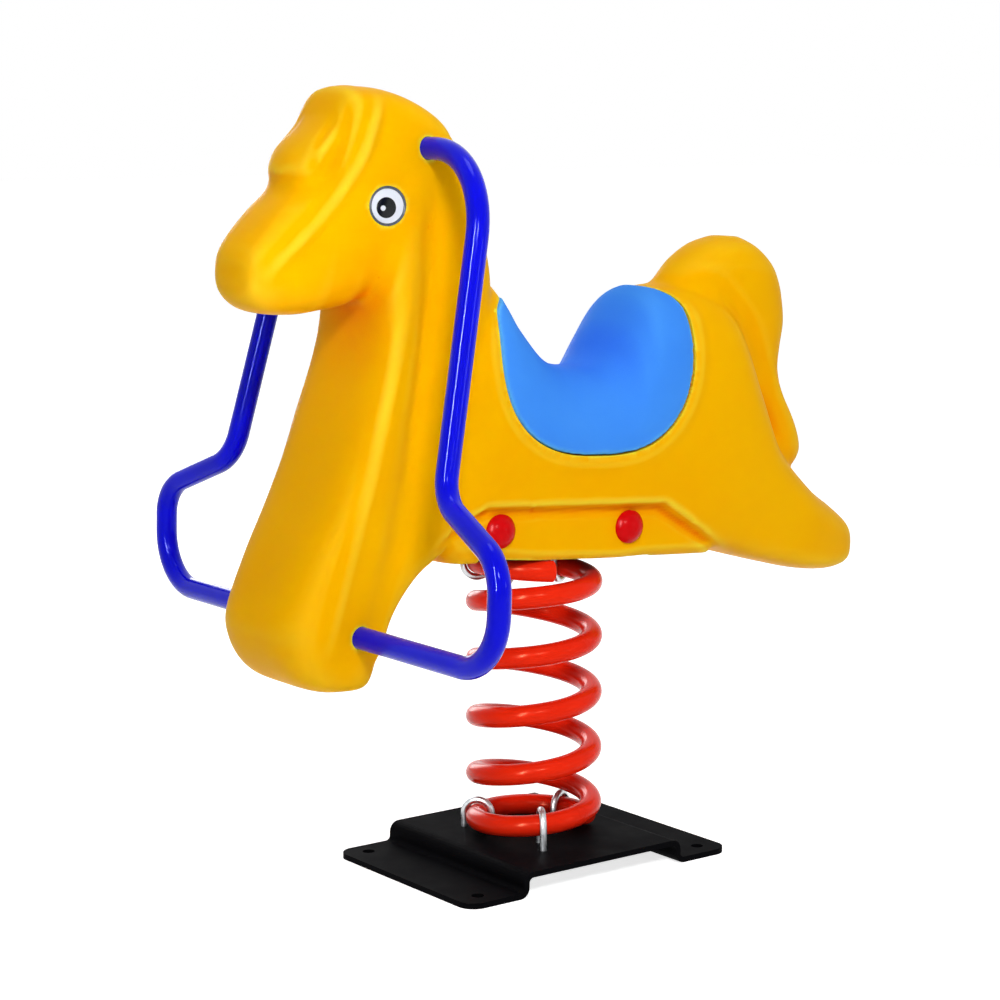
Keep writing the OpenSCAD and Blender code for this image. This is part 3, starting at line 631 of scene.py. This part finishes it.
# Tail, bottom up: height, front, back, width
tailShares = [
    [0.00, 0.70, 0.85, 0.50], [0.04, 0.60, 0.95, 0.77], [0.10, 0.55, 1.00, 0.90],
    [0.16, 0.55, 0.97, 0.95], [0.24, 0.50, 0.90, 0.95], [0.34, 0.40, 0.79, 0.93],
    [0.44, 0.20, 0.74, 0.91], [0.54, 0.00, 0.75, 0.97], [0.65, -0.16, 0.78, 1.00],
    [0.75, -0.36, 0.76, 1.00], [0.82, -0.33, 0.72, 0.97], [0.89, -0.21, 0.64, 0.91],
    [0.96, -0.04, 0.49, 0.68], [1.00, 0.14, 0.34, 0.27],
]
# Forelock down the brow: length and height along the head, half width and thickness
forelockRows = [
    [0.48, 0.965, 34, 9.0], [0.54, 0.91, 39, 7.2], [0.61, 0.80, 43, 9.8], [0.69, 0.695, 43, 13.6],
    [0.74, 0.61, 38, 12.5],
]
forelock = {"steps": 5, "points": 24, "slices": 17, "sweep": (4, 176)}
chest, head, trunk, tail = horse["chest"], horse["head"], horse["trunk"], horse["tail"]
headX = chest["x"] + chest["depth"] * head["at"][0]
headZ = chest["height"] * head["at"][1] - chest["footDrop"]
trunkX = chest["x"] + chest["depth"] * trunk["at"]
tailX = trunkX + trunk["length"] * tail["at"][0]
tailZ = trunk["height"] * tail["at"][1]


def onHead(along, up, y):
    return np.array([headX + head["length"] * along, y, headZ + head["height"] * up])


def onChest(along, up, y):
    return np.array([chest["x"] + chest["depth"] * along, y, chest["height"] * up - chest["footDrop"]])


def chestRows(shares):
    return [
        [chest["height"] * s[0] - chest["footDrop"], chest["x"] + chest["depth"] * s[1],
         chest["x"] + chest["depth"] * s[2], chest["width"] / 2 * s[3]] for s in shares
    ]


def trunkRows(inset):
    # Sections too low to hold the inset are left out
    high, half = trunk["height"], trunk["width"] / 2
    return [
        [trunkX - trunk["length"] * s[0], high * s[1] - inset, high * s[2] + inset, half * s[3] - inset]
        for s in trunkShares if high * (s[1] - s[2]) > trunk["least"] * inset
    ]


def forelockSkin():
    # Long balls across the brow, so close that the voxels join them in one mound
    c, s = around(forelock["points"], (2, 2))
    balls = []
    for along, up, half, thick in splined(forelockRows, forelock["steps"]):
        centre = onHead(along, up, 0)
        rings = [
            np.stack([
                centre[0] + thick * math.sin(a) * c,
                np.full(forelock["points"], centre[1] - half * math.cos(a)),
                centre[2] + thick * math.sin(a) * s,
            ], axis=1)
            for a in np.radians(np.linspace(*forelock["sweep"], forelock["slices"]))
        ]
        balls.append(skinOf(rings))
    return joined(*balls)


headRows = [
    [headX + head["length"] * s[0], headZ + head["height"] * s[1], headZ + head["height"] * s[2],
     head["width"] / 2 * s[3]] for s in headShares
]
tailRows = [
    [tailZ + tail["height"] * s[0], tailX - tail["length"] * s[1], tailX - tail["length"] * s[2],
     tail["width"] / 2 * s[3]] for s in tailShares
]
shellPoints, shellFaces = joined(
    levelSkin(chestRows(chestShares), chest["round"]),
    levelSkin(chestRows(maneShares), horse["maneRound"]),
    uprightSkin(headRows, head["round"]),
    uprightSkin(trunkRows(0), trunk["round"]),
    levelSkin(tailRows, tail["round"]),
    forelockSkin(),
)
shell = addPiece("horseShell", toFrame(shellPoints), shellFaces)
withVoxels(shell, horse["voxel"], horse["relax"])
print("horse forms merged:", len(shell.data.vertices), "points")

# Flat belly sides under a soft ledge, where the cross bolts go through: low and high are the flat's front and
# back ends at its bottom and top, level the run over which the underside is cut flat
belly = {
    "width": 128, "height": 55, "shift": 12, "low": (206.1, -224.0), "high": (103.0, -121.0), "ledge": 4.0,
    "overhang": 4.0, "level": (166, -212), "cutDepth": 30,
    "fade": (120, 172), "underFade": 30, "backFade": 25, "frontFade": (115, 140), "floorFade": (2, 12),
    "creaseAt": 3.0, "creaseReach": 4.5, "creaseDepth": 3.4,
}


def insideBelly(points):
    # How far inside the flat's slanted ends and ledge a point lies, and how much of the flat shows there
    x, z, high = points[:, 0] - belly["shift"], points[:, 2], belly["height"]
    frontRun = belly["low"][0] - belly["high"][0]
    backRun = belly["high"][1] - belly["low"][1]
    front = (belly["low"][0] - x - frontRun * z / high) / math.hypot(1, frontRun / high)
    back = (x - belly["low"][1] - backRun * z / high) / math.hypot(1, backRun / high)
    shown = ramp(z, -belly["underFade"], 0) * fading(x, *belly["fade"])
    return np.minimum(np.minimum(front, back), high - z), shown


p = toRider(vertices(shell))
inside, shown = insideBelly(p)
excess = np.maximum(np.abs(p[:, 1]) - belly["width"] / 2, 0)
p[:, 1] -= np.sign(p[:, 1]) * excess * shown * ramp(inside, -belly["ledge"] / 2, belly["ledge"] / 2)
x, z = p[:, 0] - belly["shift"], p[:, 2]
fromBack = ramp(x, belly["low"][1], belly["low"][1] + belly["backFade"])
bottom = fromBack * fading(x, *belly["frontFade"]) * fading(z, *belly["floorFade"])
p[:, 2] -= belly["overhang"] * bottom  # the level tool trims it again below, so that the edge stays crisp
setVertices(shell, toFrame(p))
softened(shell, horse["settle"])

# Where two forms of the mould meet, the skin runs through in a broad soft valley: full within a third of the
# reach, and weaker where the line's fourth value is
softLines = {
    "neckGroove": {"reach": 46, "passes": 90, "fills": False, "line": [
        (189, 56, 380, 1), (188, 56, 298, 1), (206, 66, 144, 1), (215, 74, 60, 1),
    ]},
    "jaw": {"reach": 22, "passes": 60, "fills": False, "line": [
        (246, 34, 262, 0.5), (245, 53, 286, 1), (236, 60, 317, 0.4),
    ]},
    "shoulder": {"reach": 48, "passes": 90, "fills": True, "line": [
        (215, 74, 60, 1), (222, 74, 0, 1), (250, 66, -100, 1),
    ]},
    "forelockEnd": {"reach": 26, "passes": 70, "fills": False, "line": [
        (333, 0, 350, 1), (328, 22, 354, 1), (310, 41, 376, 0.6), (302, 45, 392, 0.1),
    ]},
    "forelockFoot": {"reach": 30, "passes": 90, "fills": True, "line": [
        (336, 0, 344, 1), (331, 22, 348, 1), (310, 44, 374, 0.2),
    ]},
}
for form in softLines.values():
    away, value = nearLine(toRider(vertices(shell)), form["line"])
    shares = value * fading(away, form["reach"] / 3, form["reach"])
    if form["fills"]:
        filledIn(shell, form["passes"], shares)
        softened(shell, horse["fillSettle"], shares)
    else:
        softened(shell, form["passes"], shares)

# Raised and sunk lines of the mould: ends fade out by the fourth value
moulding = {
    "crown": {"reach": 60, "height": 3.0, "line": [(282, 0, 450, 0.5), (240, 0, 456, 1), (166, 0, 415, 0)]},
    "nose": {"reach": 52, "height": 3.0, "line": [(368, 0, 306, 0.4), (378, 0, 284, 1), (372, 0, 258, 0.8)]},
    "brow": {"reach": 12, "height": 4.0, "line": [
        (248, 32, 450, 0), (263, 56, 426, 1), (283, 62, 382, 1), (320, 54, 329, 1), (352, 47, 294, 0.9),
        (370, 40, 270, 0),
    ]},
    "browValley": {"reach": 11, "height": -2.6, "line": [
        (276, 36, 446, 0), (291, 48, 420, 1), (301, 49, 387, 1), (320, 40, 358, 0.2),
    ]},
    "forelockParting": {"reach": 8, "height": -2.2, "line": [
        (288, 27, 432, 0), (302, 31, 410, 1), (316, 34, 384, 0.9), (320, 28, 371, 0.2),
    ]},
    "chestEdge": {"reach": 13, "height": 2.4, "line": [
        (222, 64, 262, 0), (240, 71, 180, 1), (270, 80, 51, 1), (291, 80, -34, 0.9), (302, 72, -86, 0),
    ]},
    "hindFoot": {"reach": 64, "height": 4.5, "line": [
        (-320, 0, -22, 0.3), (-380, 0, -24, 1), (-424, 0, 0, 1), (-410, 0, 34, 0.3),
    ]},
    "rumpCrease": {"reach": 15, "height": -3.8, "line": [
        (-149, 0, 288, 0), (-189, 40, 285, 0.8), (-232, 44, 249, 1), (-261, 41, 205, 1), (-316, 40, 106, 0),
    ]},
    "tailLock": {"reach": 9, "height": -2.2, "line": [
        (-222, 18, 322, 0), (-256, 27, 268, 1), (-288, 28, 190, 1), (-312, 28, 156, 0),
    ]},
}
for form in moulding.values():
    away, value = nearLine(toRider(vertices(shell)), form["line"])
    raised(shell, form["height"] * value * fading(away, 0, form["reach"]))

# A crease along the ledge over the belly's flats; the crease between rump and tail is softened once more
inside, shown = insideBelly(toRider(vertices(shell)))
raised(shell, -belly["creaseDepth"] * shown * bell(inside, belly["creaseAt"], belly["creaseReach"]))
softened(shell, horse["settle"])
rumpSoft = {"passes": 16, "fade": (10, 24)}
away = nearLine(toRider(vertices(shell)), moulding["rumpCrease"]["line"])[0]
softened(shell, rumpSoft["passes"], fading(away, *rumpSoft["fade"]))

# Seats cut in the shell: saddle recess, level belly, bracket pocket, handle bores and eye seats. Shares of
# head and chest place the ends and eyes; the panel that cuts the recess goes past the trunk's sides
saddle = {
    "length": 248, "drop": 125, "backRise": 52, "frontRise": 37, "slope": (-0.2, 0.6), "thick": 14,
    "at": (-0.342, 0.83), "round": (3.6, 2.6), "gap": 1.3, "past": 12,
}
saddleX = trunkX + trunk["length"] * saddle["at"][0]
saddleZ = trunk["height"] * saddle["at"][1]
fits = {
    "pocket": (224.6, 112.6, 60.3), "pocketFloor": -0.5,
    "upperEnd": (0.205, 0.755), "lowerEnd": (0.485, 0.125), "bore": 22.6, "boreHalf": 120,
    "eye": (0.408, 0.488), "eyeSeat": 40.6, "eyeDepth": 57.5, "eyeHalf": 20, "eyeOval": (1.05, 0.94),
}


def riseOf(across):
    # The saddle's upper edge is lower in front, towards the neck
    return saddle["backRise"] + (saddle["frontRise"] - saddle["backRise"]) * ramp(across, *saddle["slope"])


def beyondSaddle(points, least=0.01):
    # How far outside the saddle's edge a point lies, seen from the side, and its height as a share of
    # the edge's; the least share keeps the saddle's middle from a division by zero
    across = (points[:, 0] - saddleX) / (saddle["length"] / 2)
    up = points[:, 2] - saddleZ
    power = np.where(up < 0, saddle["round"][1], saddle["round"][0])
    up = up / np.where(up < 0, saddle["drop"], riseOf(across))
    outward = (np.abs(across) ** power + np.abs(up) ** power) ** (1 / power)
    away = np.hypot(points[:, 0] - saddleX, points[:, 2] - saddleZ) * (1 - 1 / np.maximum(outward, least))
    return away, up


# The shell stands up in a soft lip round the saddle: crest this far from its edge
lip = {"crest": 10.0, "reach": 8.0, "height": 2.2, "fade": (0.2, 0.8)}
fromEdge, upShare = beyondSaddle(toRider(vertices(shell)))
lipShare = bell(fromEdge, lip["crest"], lip["reach"]) * fading(upShare, *lip["fade"])
raised(shell, lip["height"] * lipShare)


def panelSkin(gap, points=160):
    c, s = around(points, saddle["round"])
    high = np.where(s < 0, saddle["drop"], riseOf(c)) + gap
    xs, zs = saddleX + (saddle["length"] / 2 + gap) * c, saddleZ + high * s
    half = trunk["width"] / 2 + saddle["past"]
    return skinOf([np.stack([xs, np.full(points, y), zs], axis=1) for y in (-half, half)])


def barAcross(centre, diameter, half, oval=(1.0, 1.0), sides=48):
    c, s = around(sides, (2, 2))
    across, up = diameter / 2 * oval[0] * c, diameter / 2 * oval[1] * s
    return skinOf([
        np.stack([centre[0] + across, np.full(sides, centre[1] + y), centre[2] + up], axis=1)
        for y in (-half, half)
    ])


def block(size, floor):
    a, b = size[0] / 2, size[1] / 2
    ring = np.array([[a, b], [-a, b], [-a, -b], [a, -b]])
    return skinOf([np.column_stack([ring, np.full(4, h)]) for h in (floor, size[2])])


panelPoints, panelFaces = panelSkin(saddle["gap"])
recessTool = addPiece("recessTool", toFrame(panelPoints), panelFaces)
corePoints, coreFaces = uprightSkin(trunkRows(saddle["thick"] + saddle["gap"]), trunk["round"])
coreTool = addPiece("coreTool", toFrame(corePoints), coreFaces)
cutBy(recessTool, coreTool)
eyePlace = onHead(*fits["eye"], 0)
eyeReach = (0, fits["eyeDepth"] + fits["eyeHalf"], 0)
seatPoints, seatFaces = joined(
    block(fits["pocket"], fits["pocketFloor"]),
    barAcross(onHead(*fits["upperEnd"], 0), fits["bore"], fits["boreHalf"]),
    barAcross(onChest(*fits["lowerEnd"], 0), fits["bore"], fits["boreHalf"]),
    barAcross(eyePlace + eyeReach, fits["eyeSeat"], fits["eyeHalf"], fits["eyeOval"]),
    barAcross(eyePlace - eyeReach, fits["eyeSeat"], fits["eyeHalf"], fits["eyeOval"]),
)
seatTool = addPiece("seatTool", toFrame(seatPoints), seatFaces)
levelSize = (belly["level"][0] - belly["level"][1], 2 * trunk["width"], 0.0)
levelPoints, levelFaces = block(levelSize, -belly["cutDepth"])
levelShift = (sum(belly["level"]) / 2, 0, 0)
levelTool = addPiece("levelTool", toFrame(np.array(levelPoints) + levelShift), levelFaces)
cutBy(shell, recessTool)
cutBy(shell, levelTool)
cutBy(shell, seatTool)
dropTool(recessTool, coreTool, levelTool, seatTool)
shell.data.materials.clear()
shell.data.materials.append(yellowPolyethylene)
smoothSkin(shell, horse["sharp"])
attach(shell, "rider")
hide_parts("horse_shell")
print("horse shell done:", len(shell.data.polygons), "faces")

# Saddle: a skin of even thickness over the trunk, a little proud, with rolled edges
saddleLook = {
    "proud": 2.4, "voxel": 2.4, "relax": 14, "roll": 3.2, "rollReach": 24.0, "rollFade": (0.3, 0.9),
    "points": 144, "steps": 12, "corePoints": 96, "sharp": 60,
}
outerPoints, outerFaces = uprightSkin(
    trunkRows(-saddleLook["proud"]), trunk["round"], saddleLook["points"], saddleLook["steps"]
)
outerPoints = np.array(outerPoints)
fromEdge, upShare = beyondSaddle(outerPoints)
rolled = np.clip(1 + fromEdge / saddleLook["rollReach"], 0, 1) ** 2 * fading(upShare, *saddleLook["rollFade"])
inward = (0, 0, trunk["height"] / 2) - outerPoints * (0, 1, 1)
outerPoints += inward * (saddleLook["roll"] * rolled / np.linalg.norm(inward, axis=1))[:, None]
saddleSkin = addPiece("saddleSkin", toFrame(outerPoints), outerFaces)
panelPoints, panelFaces = panelSkin(0.0)
panelTool = addPiece("panelTool", toFrame(panelPoints), panelFaces)
corePoints, coreFaces = uprightSkin(trunkRows(saddle["thick"]), trunk["round"], saddleLook["corePoints"])
coreTool = addPiece("coreTool", toFrame(corePoints), coreFaces)
cutBy(saddleSkin, panelTool, "INTERSECT")
cutBy(saddleSkin, coreTool)
dropTool(panelTool, coreTool)
withVoxels(saddleSkin, saddleLook["voxel"], saddleLook["relax"])
saddleSkin.data.materials.clear()
saddleSkin.data.materials.append(bluePolyethylene)
smoothSkin(saddleSkin, saddleLook["sharp"])
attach(saddleSkin, "rider")
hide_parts("saddle_seat")
print("saddle done:", len(saddleSkin.data.polygons), "faces")

# Handles: one bent tube on each side, hand grip above and foot loop below; spans go across the rider
handle = {
    "diameter": 22, "topSpan": 306, "lowSpan": 370, "loopSpan": 586,
    "gripBend": 92, "loopBend": 42, "footBend": 56, "bendSteps": 18,
    "endY": 8, "gripLow": (0.41, 0.44), "loopHigh": (0.515, 0.345), "sides": 32, "chamfer": 1.0,
}
corners = [
    onHead(*fits["upperEnd"], handle["endY"]),
    onHead(*fits["upperEnd"], handle["topSpan"] / 2),
    onChest(*handle["gripLow"], handle["lowSpan"] / 2),
    onChest(*handle["loopHigh"], handle["loopSpan"] / 2),
    onChest(*fits["lowerEnd"], handle["loopSpan"] / 2),
    onChest(*fits["lowerEnd"], handle["endY"]),
]
bends = [0, handle["gripBend"], handle["loopBend"], handle["loopBend"], handle["footBend"], 0]
handlePath = [corners[0]]
for i in range(1, len(corners) - 1):
    u = (corners[i] - corners[i - 1]) / np.linalg.norm(corners[i] - corners[i - 1])
    v = (corners[i + 1] - corners[i]) / np.linalg.norm(corners[i + 1] - corners[i])
    turn = math.acos(u @ v)
    inward = (v - u * (u @ v)) / np.linalg.norm(v - u * (u @ v))
    start = corners[i] - u * bends[i] * math.tan(turn / 2)
    for k in range(handle["bendSteps"] + 1):
        t = turn * k / handle["bendSteps"]
        handlePath.append(start + bends[i] * ((1 - math.cos(t)) * inward + math.sin(t) * u))
handlePath.append(corners[-1])
tubePoints, tubeFaces = barAlong(handlePath, handle["diameter"] / 2, handle["sides"], handle["chamfer"])
for sideName, flip in (("left", 1), ("right", -1)):
    tube = addPiece(sideName + "Handle", toFrame(np.array(tubePoints) * (1, flip, 1)), tubeFaces, blueEnamel)
    smoothSkin(tube)
    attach(tube, "rider")
    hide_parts(sideName + "_handle")
print("handles done")

# Coil spring: round wire whose dead turns lie flat and ease into the rise, made as two halves that meet at
# its middle
spring = {
    "height": 296, "coil": 120, "wire": 22, "turns": 5.75, "start": 162, "floor": 26.3,
    "dead": 0.6, "ease": 0.5, "ringsPerTurn": 72, "sides": 24, "chamfer": 1.6,
    "middle": 174.3, "stiff": 14, "held": (50, 296),
}
springRise = spring["height"] - spring["wire"]
pitch = springRise / (spring["turns"] - 2 * spring["dead"])


def easedTurns(t):
    run = t - spring["dead"] + spring["ease"]
    if run < 0:
        return 0.0
    return run * run / (4 * spring["ease"]) if run < 2 * spring["ease"] else t - spring["dead"]


def wireMiddle(t):
    half = spring["turns"] / 2
    rise = pitch * easedTurns(t) if t < half else springRise - pitch * easedTurns(spring["turns"] - t)
    a = math.radians(spring["start"] + 360 * t)
    x, y = spring["coil"] / 2 * math.cos(a), spring["coil"] / 2 * math.sin(a)
    lean = math.tan(math.radians(riderSeat["lean"] * rise / springRise))
    return [x, y, spring["floor"] + spring["wire"] / 2 + rise + x * lean]


ringCount = round(spring["turns"] / 2 * spring["ringsPerTurn"])
wirePath = [wireMiddle(spring["turns"] * i / (2 * ringCount)) for i in range(2 * ringCount + 1)]
wirePoints = barAlong(wirePath, spring["wire"] / 2, spring["sides"], spring["chamfer"])[0]
# The wire's rings without its end centres; the chamfer adds one at each end, the halves share the middle one
rings = np.array(wirePoints[:-2]).reshape(-1, spring["sides"], 3)
low, high = spring["held"]
turnPoint = spring["middle"]
for pieceName, halfRings, bodies, run in (
    ("springLower", rings[:ringCount + 2], ("base", "spring"), (low, turnPoint - spring["stiff"])),
    ("springUpper", rings[ringCount + 1:], ("spring", "rider"), (turnPoint + spring["stiff"], high)),
):
    halfPoints, halfFaces = skinOf(halfRings)
    half = addPiece(pieceName, np.array(halfPoints) / 1000, halfFaces, redEnamel)
    smoothSkin(half)
    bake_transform(half)
    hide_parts("coil_spring")
print("spring done")

# Eyes: white dome in a dark rim, pupil and a painted glint
eye = {
    "rim": 20.0, "ahead": 2.2, "drop": 1.6, "glintAt": (4.2, -0.6), "domeSteps": 9,
    "white": {"radius": 17.5, "floor": 1.0, "wall": 2.7, "top": 3.0, "bulge": 1.6, "edge": 0.985, "hub": 0.4},
    "pupil": {"radius": 10.5, "floor": 2.4, "wall": -0.35, "bulge": 0.7, "edge": 0.97, "hub": 0.4},
    "glint": {"radius": 2.8, "wall": 0.45, "bulge": 0.3, "edge": 0.9, "hub": 0.2},
}
# Rim's section from its seat over the rounded top to its floor: outward from the rim's radius, and height
rimSection = [
    (-0.6, 0.0), (0.0, 0.6), (0.0, 3.2), (-0.4, 3.8), (-1.1, 4.1), (-1.8, 3.9), (-2.2, 3.3), (-2.2, 1.0),
]
white, pupil, glint = eye["white"], eye["pupil"], eye["glint"]


def domed(form, floor, wall, top):
    # Half section of a low dome: floor, upright wall, and a bulge that starts a little inside the wall
    section = [(form["hub"], floor), (form["radius"], floor), (form["radius"], wall)]
    for r in np.linspace(1, 0, eye["domeSteps"]) * form["edge"]:
        section.append((max(form["radius"] * r, form["hub"]), top + form["bulge"] * (1 - r * r)))
    return section


seatY = fits["eyeDepth"]
rimProfile = [(white["hub"], 0.0)]
rimProfile += [(eye["rim"] + r, y) for r, y in rimSection]
rimProfile += [(white["hub"], white["floor"])]
offCentre = math.hypot(eye["drop"], eye["ahead"]) / white["radius"]
pupilTop = white["top"] + white["bulge"] * (1 - offCentre ** 2)
whiteProfile = domed(white, white["floor"], white["wall"], white["top"])
pupilProfile = domed(pupil, pupil["floor"], pupilTop + pupil["wall"], pupilTop)
glintProfile = domed(glint, pupilTop, pupilTop + glint["wall"], pupilTop + pupil["bulge"])
eyeAt = eyePlace + (0, seatY, 0)
pupilAt = eyeAt + (eye["ahead"], 0, -eye["drop"])
glintAt = pupilAt + (eye["glintAt"][0], 0, eye["glintAt"][1])
for pieceName, profile, place, finish, node, slotName in (
    ("eyeRims", rimProfile, eyeAt, eyeRimPlastic, "eye_rims", "eye_rim"),
    ("eyeWhites", whiteProfile, eyeAt, eyeWhitePlastic, "eye_whites", "eye_white"),
    ("eyePupils", pupilProfile, pupilAt, eyePupilPlastic, "eye_pupils", "eye_pupil"),
    ("eyeGlints", glintProfile, glintAt, eyeWhitePlastic, None, "eye_white"),
):
    points, faces = lathed(profile, place, fits["eyeOval"])
    piece = addPiece(pieceName, toFrame(points), faces, finish)
    smoothSkin(piece)
    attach(piece, "rider")
    if node:
        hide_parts(node)
print("eyes done")

# Pieces kept as made in CAD take their finish, and a small broken edge where steel or plastic has one
keptNodes = {
    "base_plate": (blackPowder, 0.8),
    "lower_clamps": (zincBar, 0.6), "lower_clamp_washers": (zincBar, 0.3), "lower_clamp_nuts": (zincBar, 0.5),
    "upper_clamps": (zincBar, 0.6), "upper_clamp_washers": (zincBar, 0.3), "upper_clamp_nuts": (zincBar, 0.5),
    "rider_bracket": (bracketPaint, 0.7),
    "seat_bolts": (zincBar, 0.5), "belly_bolts": (zincBar, 0.5), "belly_washers": (zincBar, 0.3),
    "belly_nuts": (zincBar, 0.5), "belly_spacers": (plainSteel, 0.4),
    "upper_handle_sleeve": (plainSteel, 0.4), "lower_handle_sleeve": (plainSteel, 0.4),
    "cap_bases": (capPlastic, 0.5), "cap_domes": (capPlastic, 0.6),
}
brokenEdge = {"segments": 2, "sharperThan": 40}
for node, (finish, edge) in keptNodes.items():
    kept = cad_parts[node]
    kept.data.materials.clear()
    kept.data.materials.append(finish)
    broken = kept.modifiers.new("brokenEdge", "BEVEL")
    broken.width = edge / 1000
    broken.segments = brokenEdge["segments"]
    broken.limit_method = "ANGLE"
    broken.angle_limit = math.radians(brokenEdge["sharperThan"])
print("kept nodes finished")

# Studio: white floor and surround, key from the rider's front left, a side lamp, a lamp above, a fill on the
# right, a gridded lamp on the head, and a tall strip that only gloss coats see, as a line of glint on tubes.
# Places and sizes are metres here, powers watts and spreads degrees
studio = {
    "floor": 40.0,
    "paper": "#F6F6F6",
    "aim": (0.0, 0.0, 0.42),
    "surround": 0.33,
    "lift": 0.74,
}
lamps = {
    "key": {"place": (1.4, 2.3, 2.0), "size": (0.6, 0.6), "power": 45.0},
    "side": {"place": (-0.9, 2.3, 0.9), "size": (0.5, 0.5), "power": 4.0},
    "top": {"place": (0.1, 0.1, 2.6), "size": (0.8, 0.8), "power": 7.0},
    "fill": {"place": (-0.5, -2.5, 0.9), "size": (1.2, 1.2), "power": 16.0},
    "head": {
        "place": (0.6, 2.5, 1.0), "size": (0.3, 0.3), "power": 0.1, "aim": (0.37, 0.05, 0.61), "spread": 10,
    },
    "strip": {"place": (2.35, 1.25, 1.4), "size": (0.14, 1.8), "power": 160.0, "glossOnly": True},
}


def seenShare(tree):
    # One where the camera sees it, straight, in gloss or through something clear; nothing for its light
    rays = addNode(tree, "ShaderNodeLightPath")
    seen = addNode(
        tree, "ShaderNodeMath", {"operation": "MAXIMUM"},
        {0: rays.outputs["Is Camera Ray"], 1: rays.outputs["Is Glossy Ray"]},
    )
    seenAll = addNode(
        tree, "ShaderNodeMath", {"operation": "MAXIMUM"},
        {0: seen.outputs[0], 1: rays.outputs["Is Transmission Ray"]},
    )
    return seenAll.outputs[0]


reach = studio["floor"] / 2
floorCorners = [(-reach, -reach, 0), (reach, -reach, 0), (reach, reach, 0), (-reach, reach, 0)]
floor = addPiece("floor", floorCorners, [(0, 1, 2, 3)])
floorFinish = bpy.data.materials.new("whitePaperSweep")
floorFinish.use_nodes = True
floorTree = floorFinish.node_tree
floorTree.nodes.clear()
paper = addNode(floorTree, "ShaderNodeBsdfDiffuse", {"Color": tint(studio["paper"])})
liftAmount = addNode(
    floorTree, "ShaderNodeMath", {"operation": "MULTIPLY", 1: studio["lift"]}, {0: seenShare(floorTree)}
)
lift = addNode(floorTree, "ShaderNodeEmission", {"Color": (1, 1, 1, 1)}, {"Strength": liftAmount.outputs[0]})
both = addNode(floorTree, "ShaderNodeAddShader", links={0: paper.outputs[0], 1: lift.outputs[0]})
addNode(floorTree, "ShaderNodeOutputMaterial", links={"Surface": both.outputs[0]})
floor.data.materials.append(floorFinish)

world = bpy.data.worlds.new("studioSurround")
scene.world = world
world.use_nodes = True
worldTree = world.node_tree
worldTree.nodes.clear()
level = addNode(
    worldTree, "ShaderNodeMapRange", {"To Min": studio["surround"], "To Max": 1.0},
    {"Value": seenShare(worldTree)},
)
surround = addNode(worldTree, "ShaderNodeBackground", {"Color": (1, 1, 1, 1)}, {"Strength": level.outputs[0]})
addNode(worldTree, "ShaderNodeOutputWorld", links={"Surface": surround.outputs[0]})

for lampName, lamp in lamps.items():
    light = bpy.data.objects.new(lampName + "Lamp", bpy.data.lights.new(lampName + "Lamp", "AREA"))
    light.data.shape = "ELLIPSE"
    light.data.size, light.data.size_y = lamp["size"]
    light.data.energy = lamp["power"]
    light.data.spread = math.radians(lamp.get("spread", 180))
    light.visible_diffuse = not lamp.get("glossOnly", False)
    scene.collection.objects.link(light)
    light.location = lamp["place"]
    aim = np.array(lamp.get("aim", studio["aim"])) - np.array(lamp["place"])
    yaw = math.atan2(aim[1], aim[0])
    pitchDown = math.atan2(math.hypot(aim[0], aim[1]), -aim[2])
    light.rotation_euler = (pitchDown, 0.0, yaw - math.pi / 2)
print("studio lit")
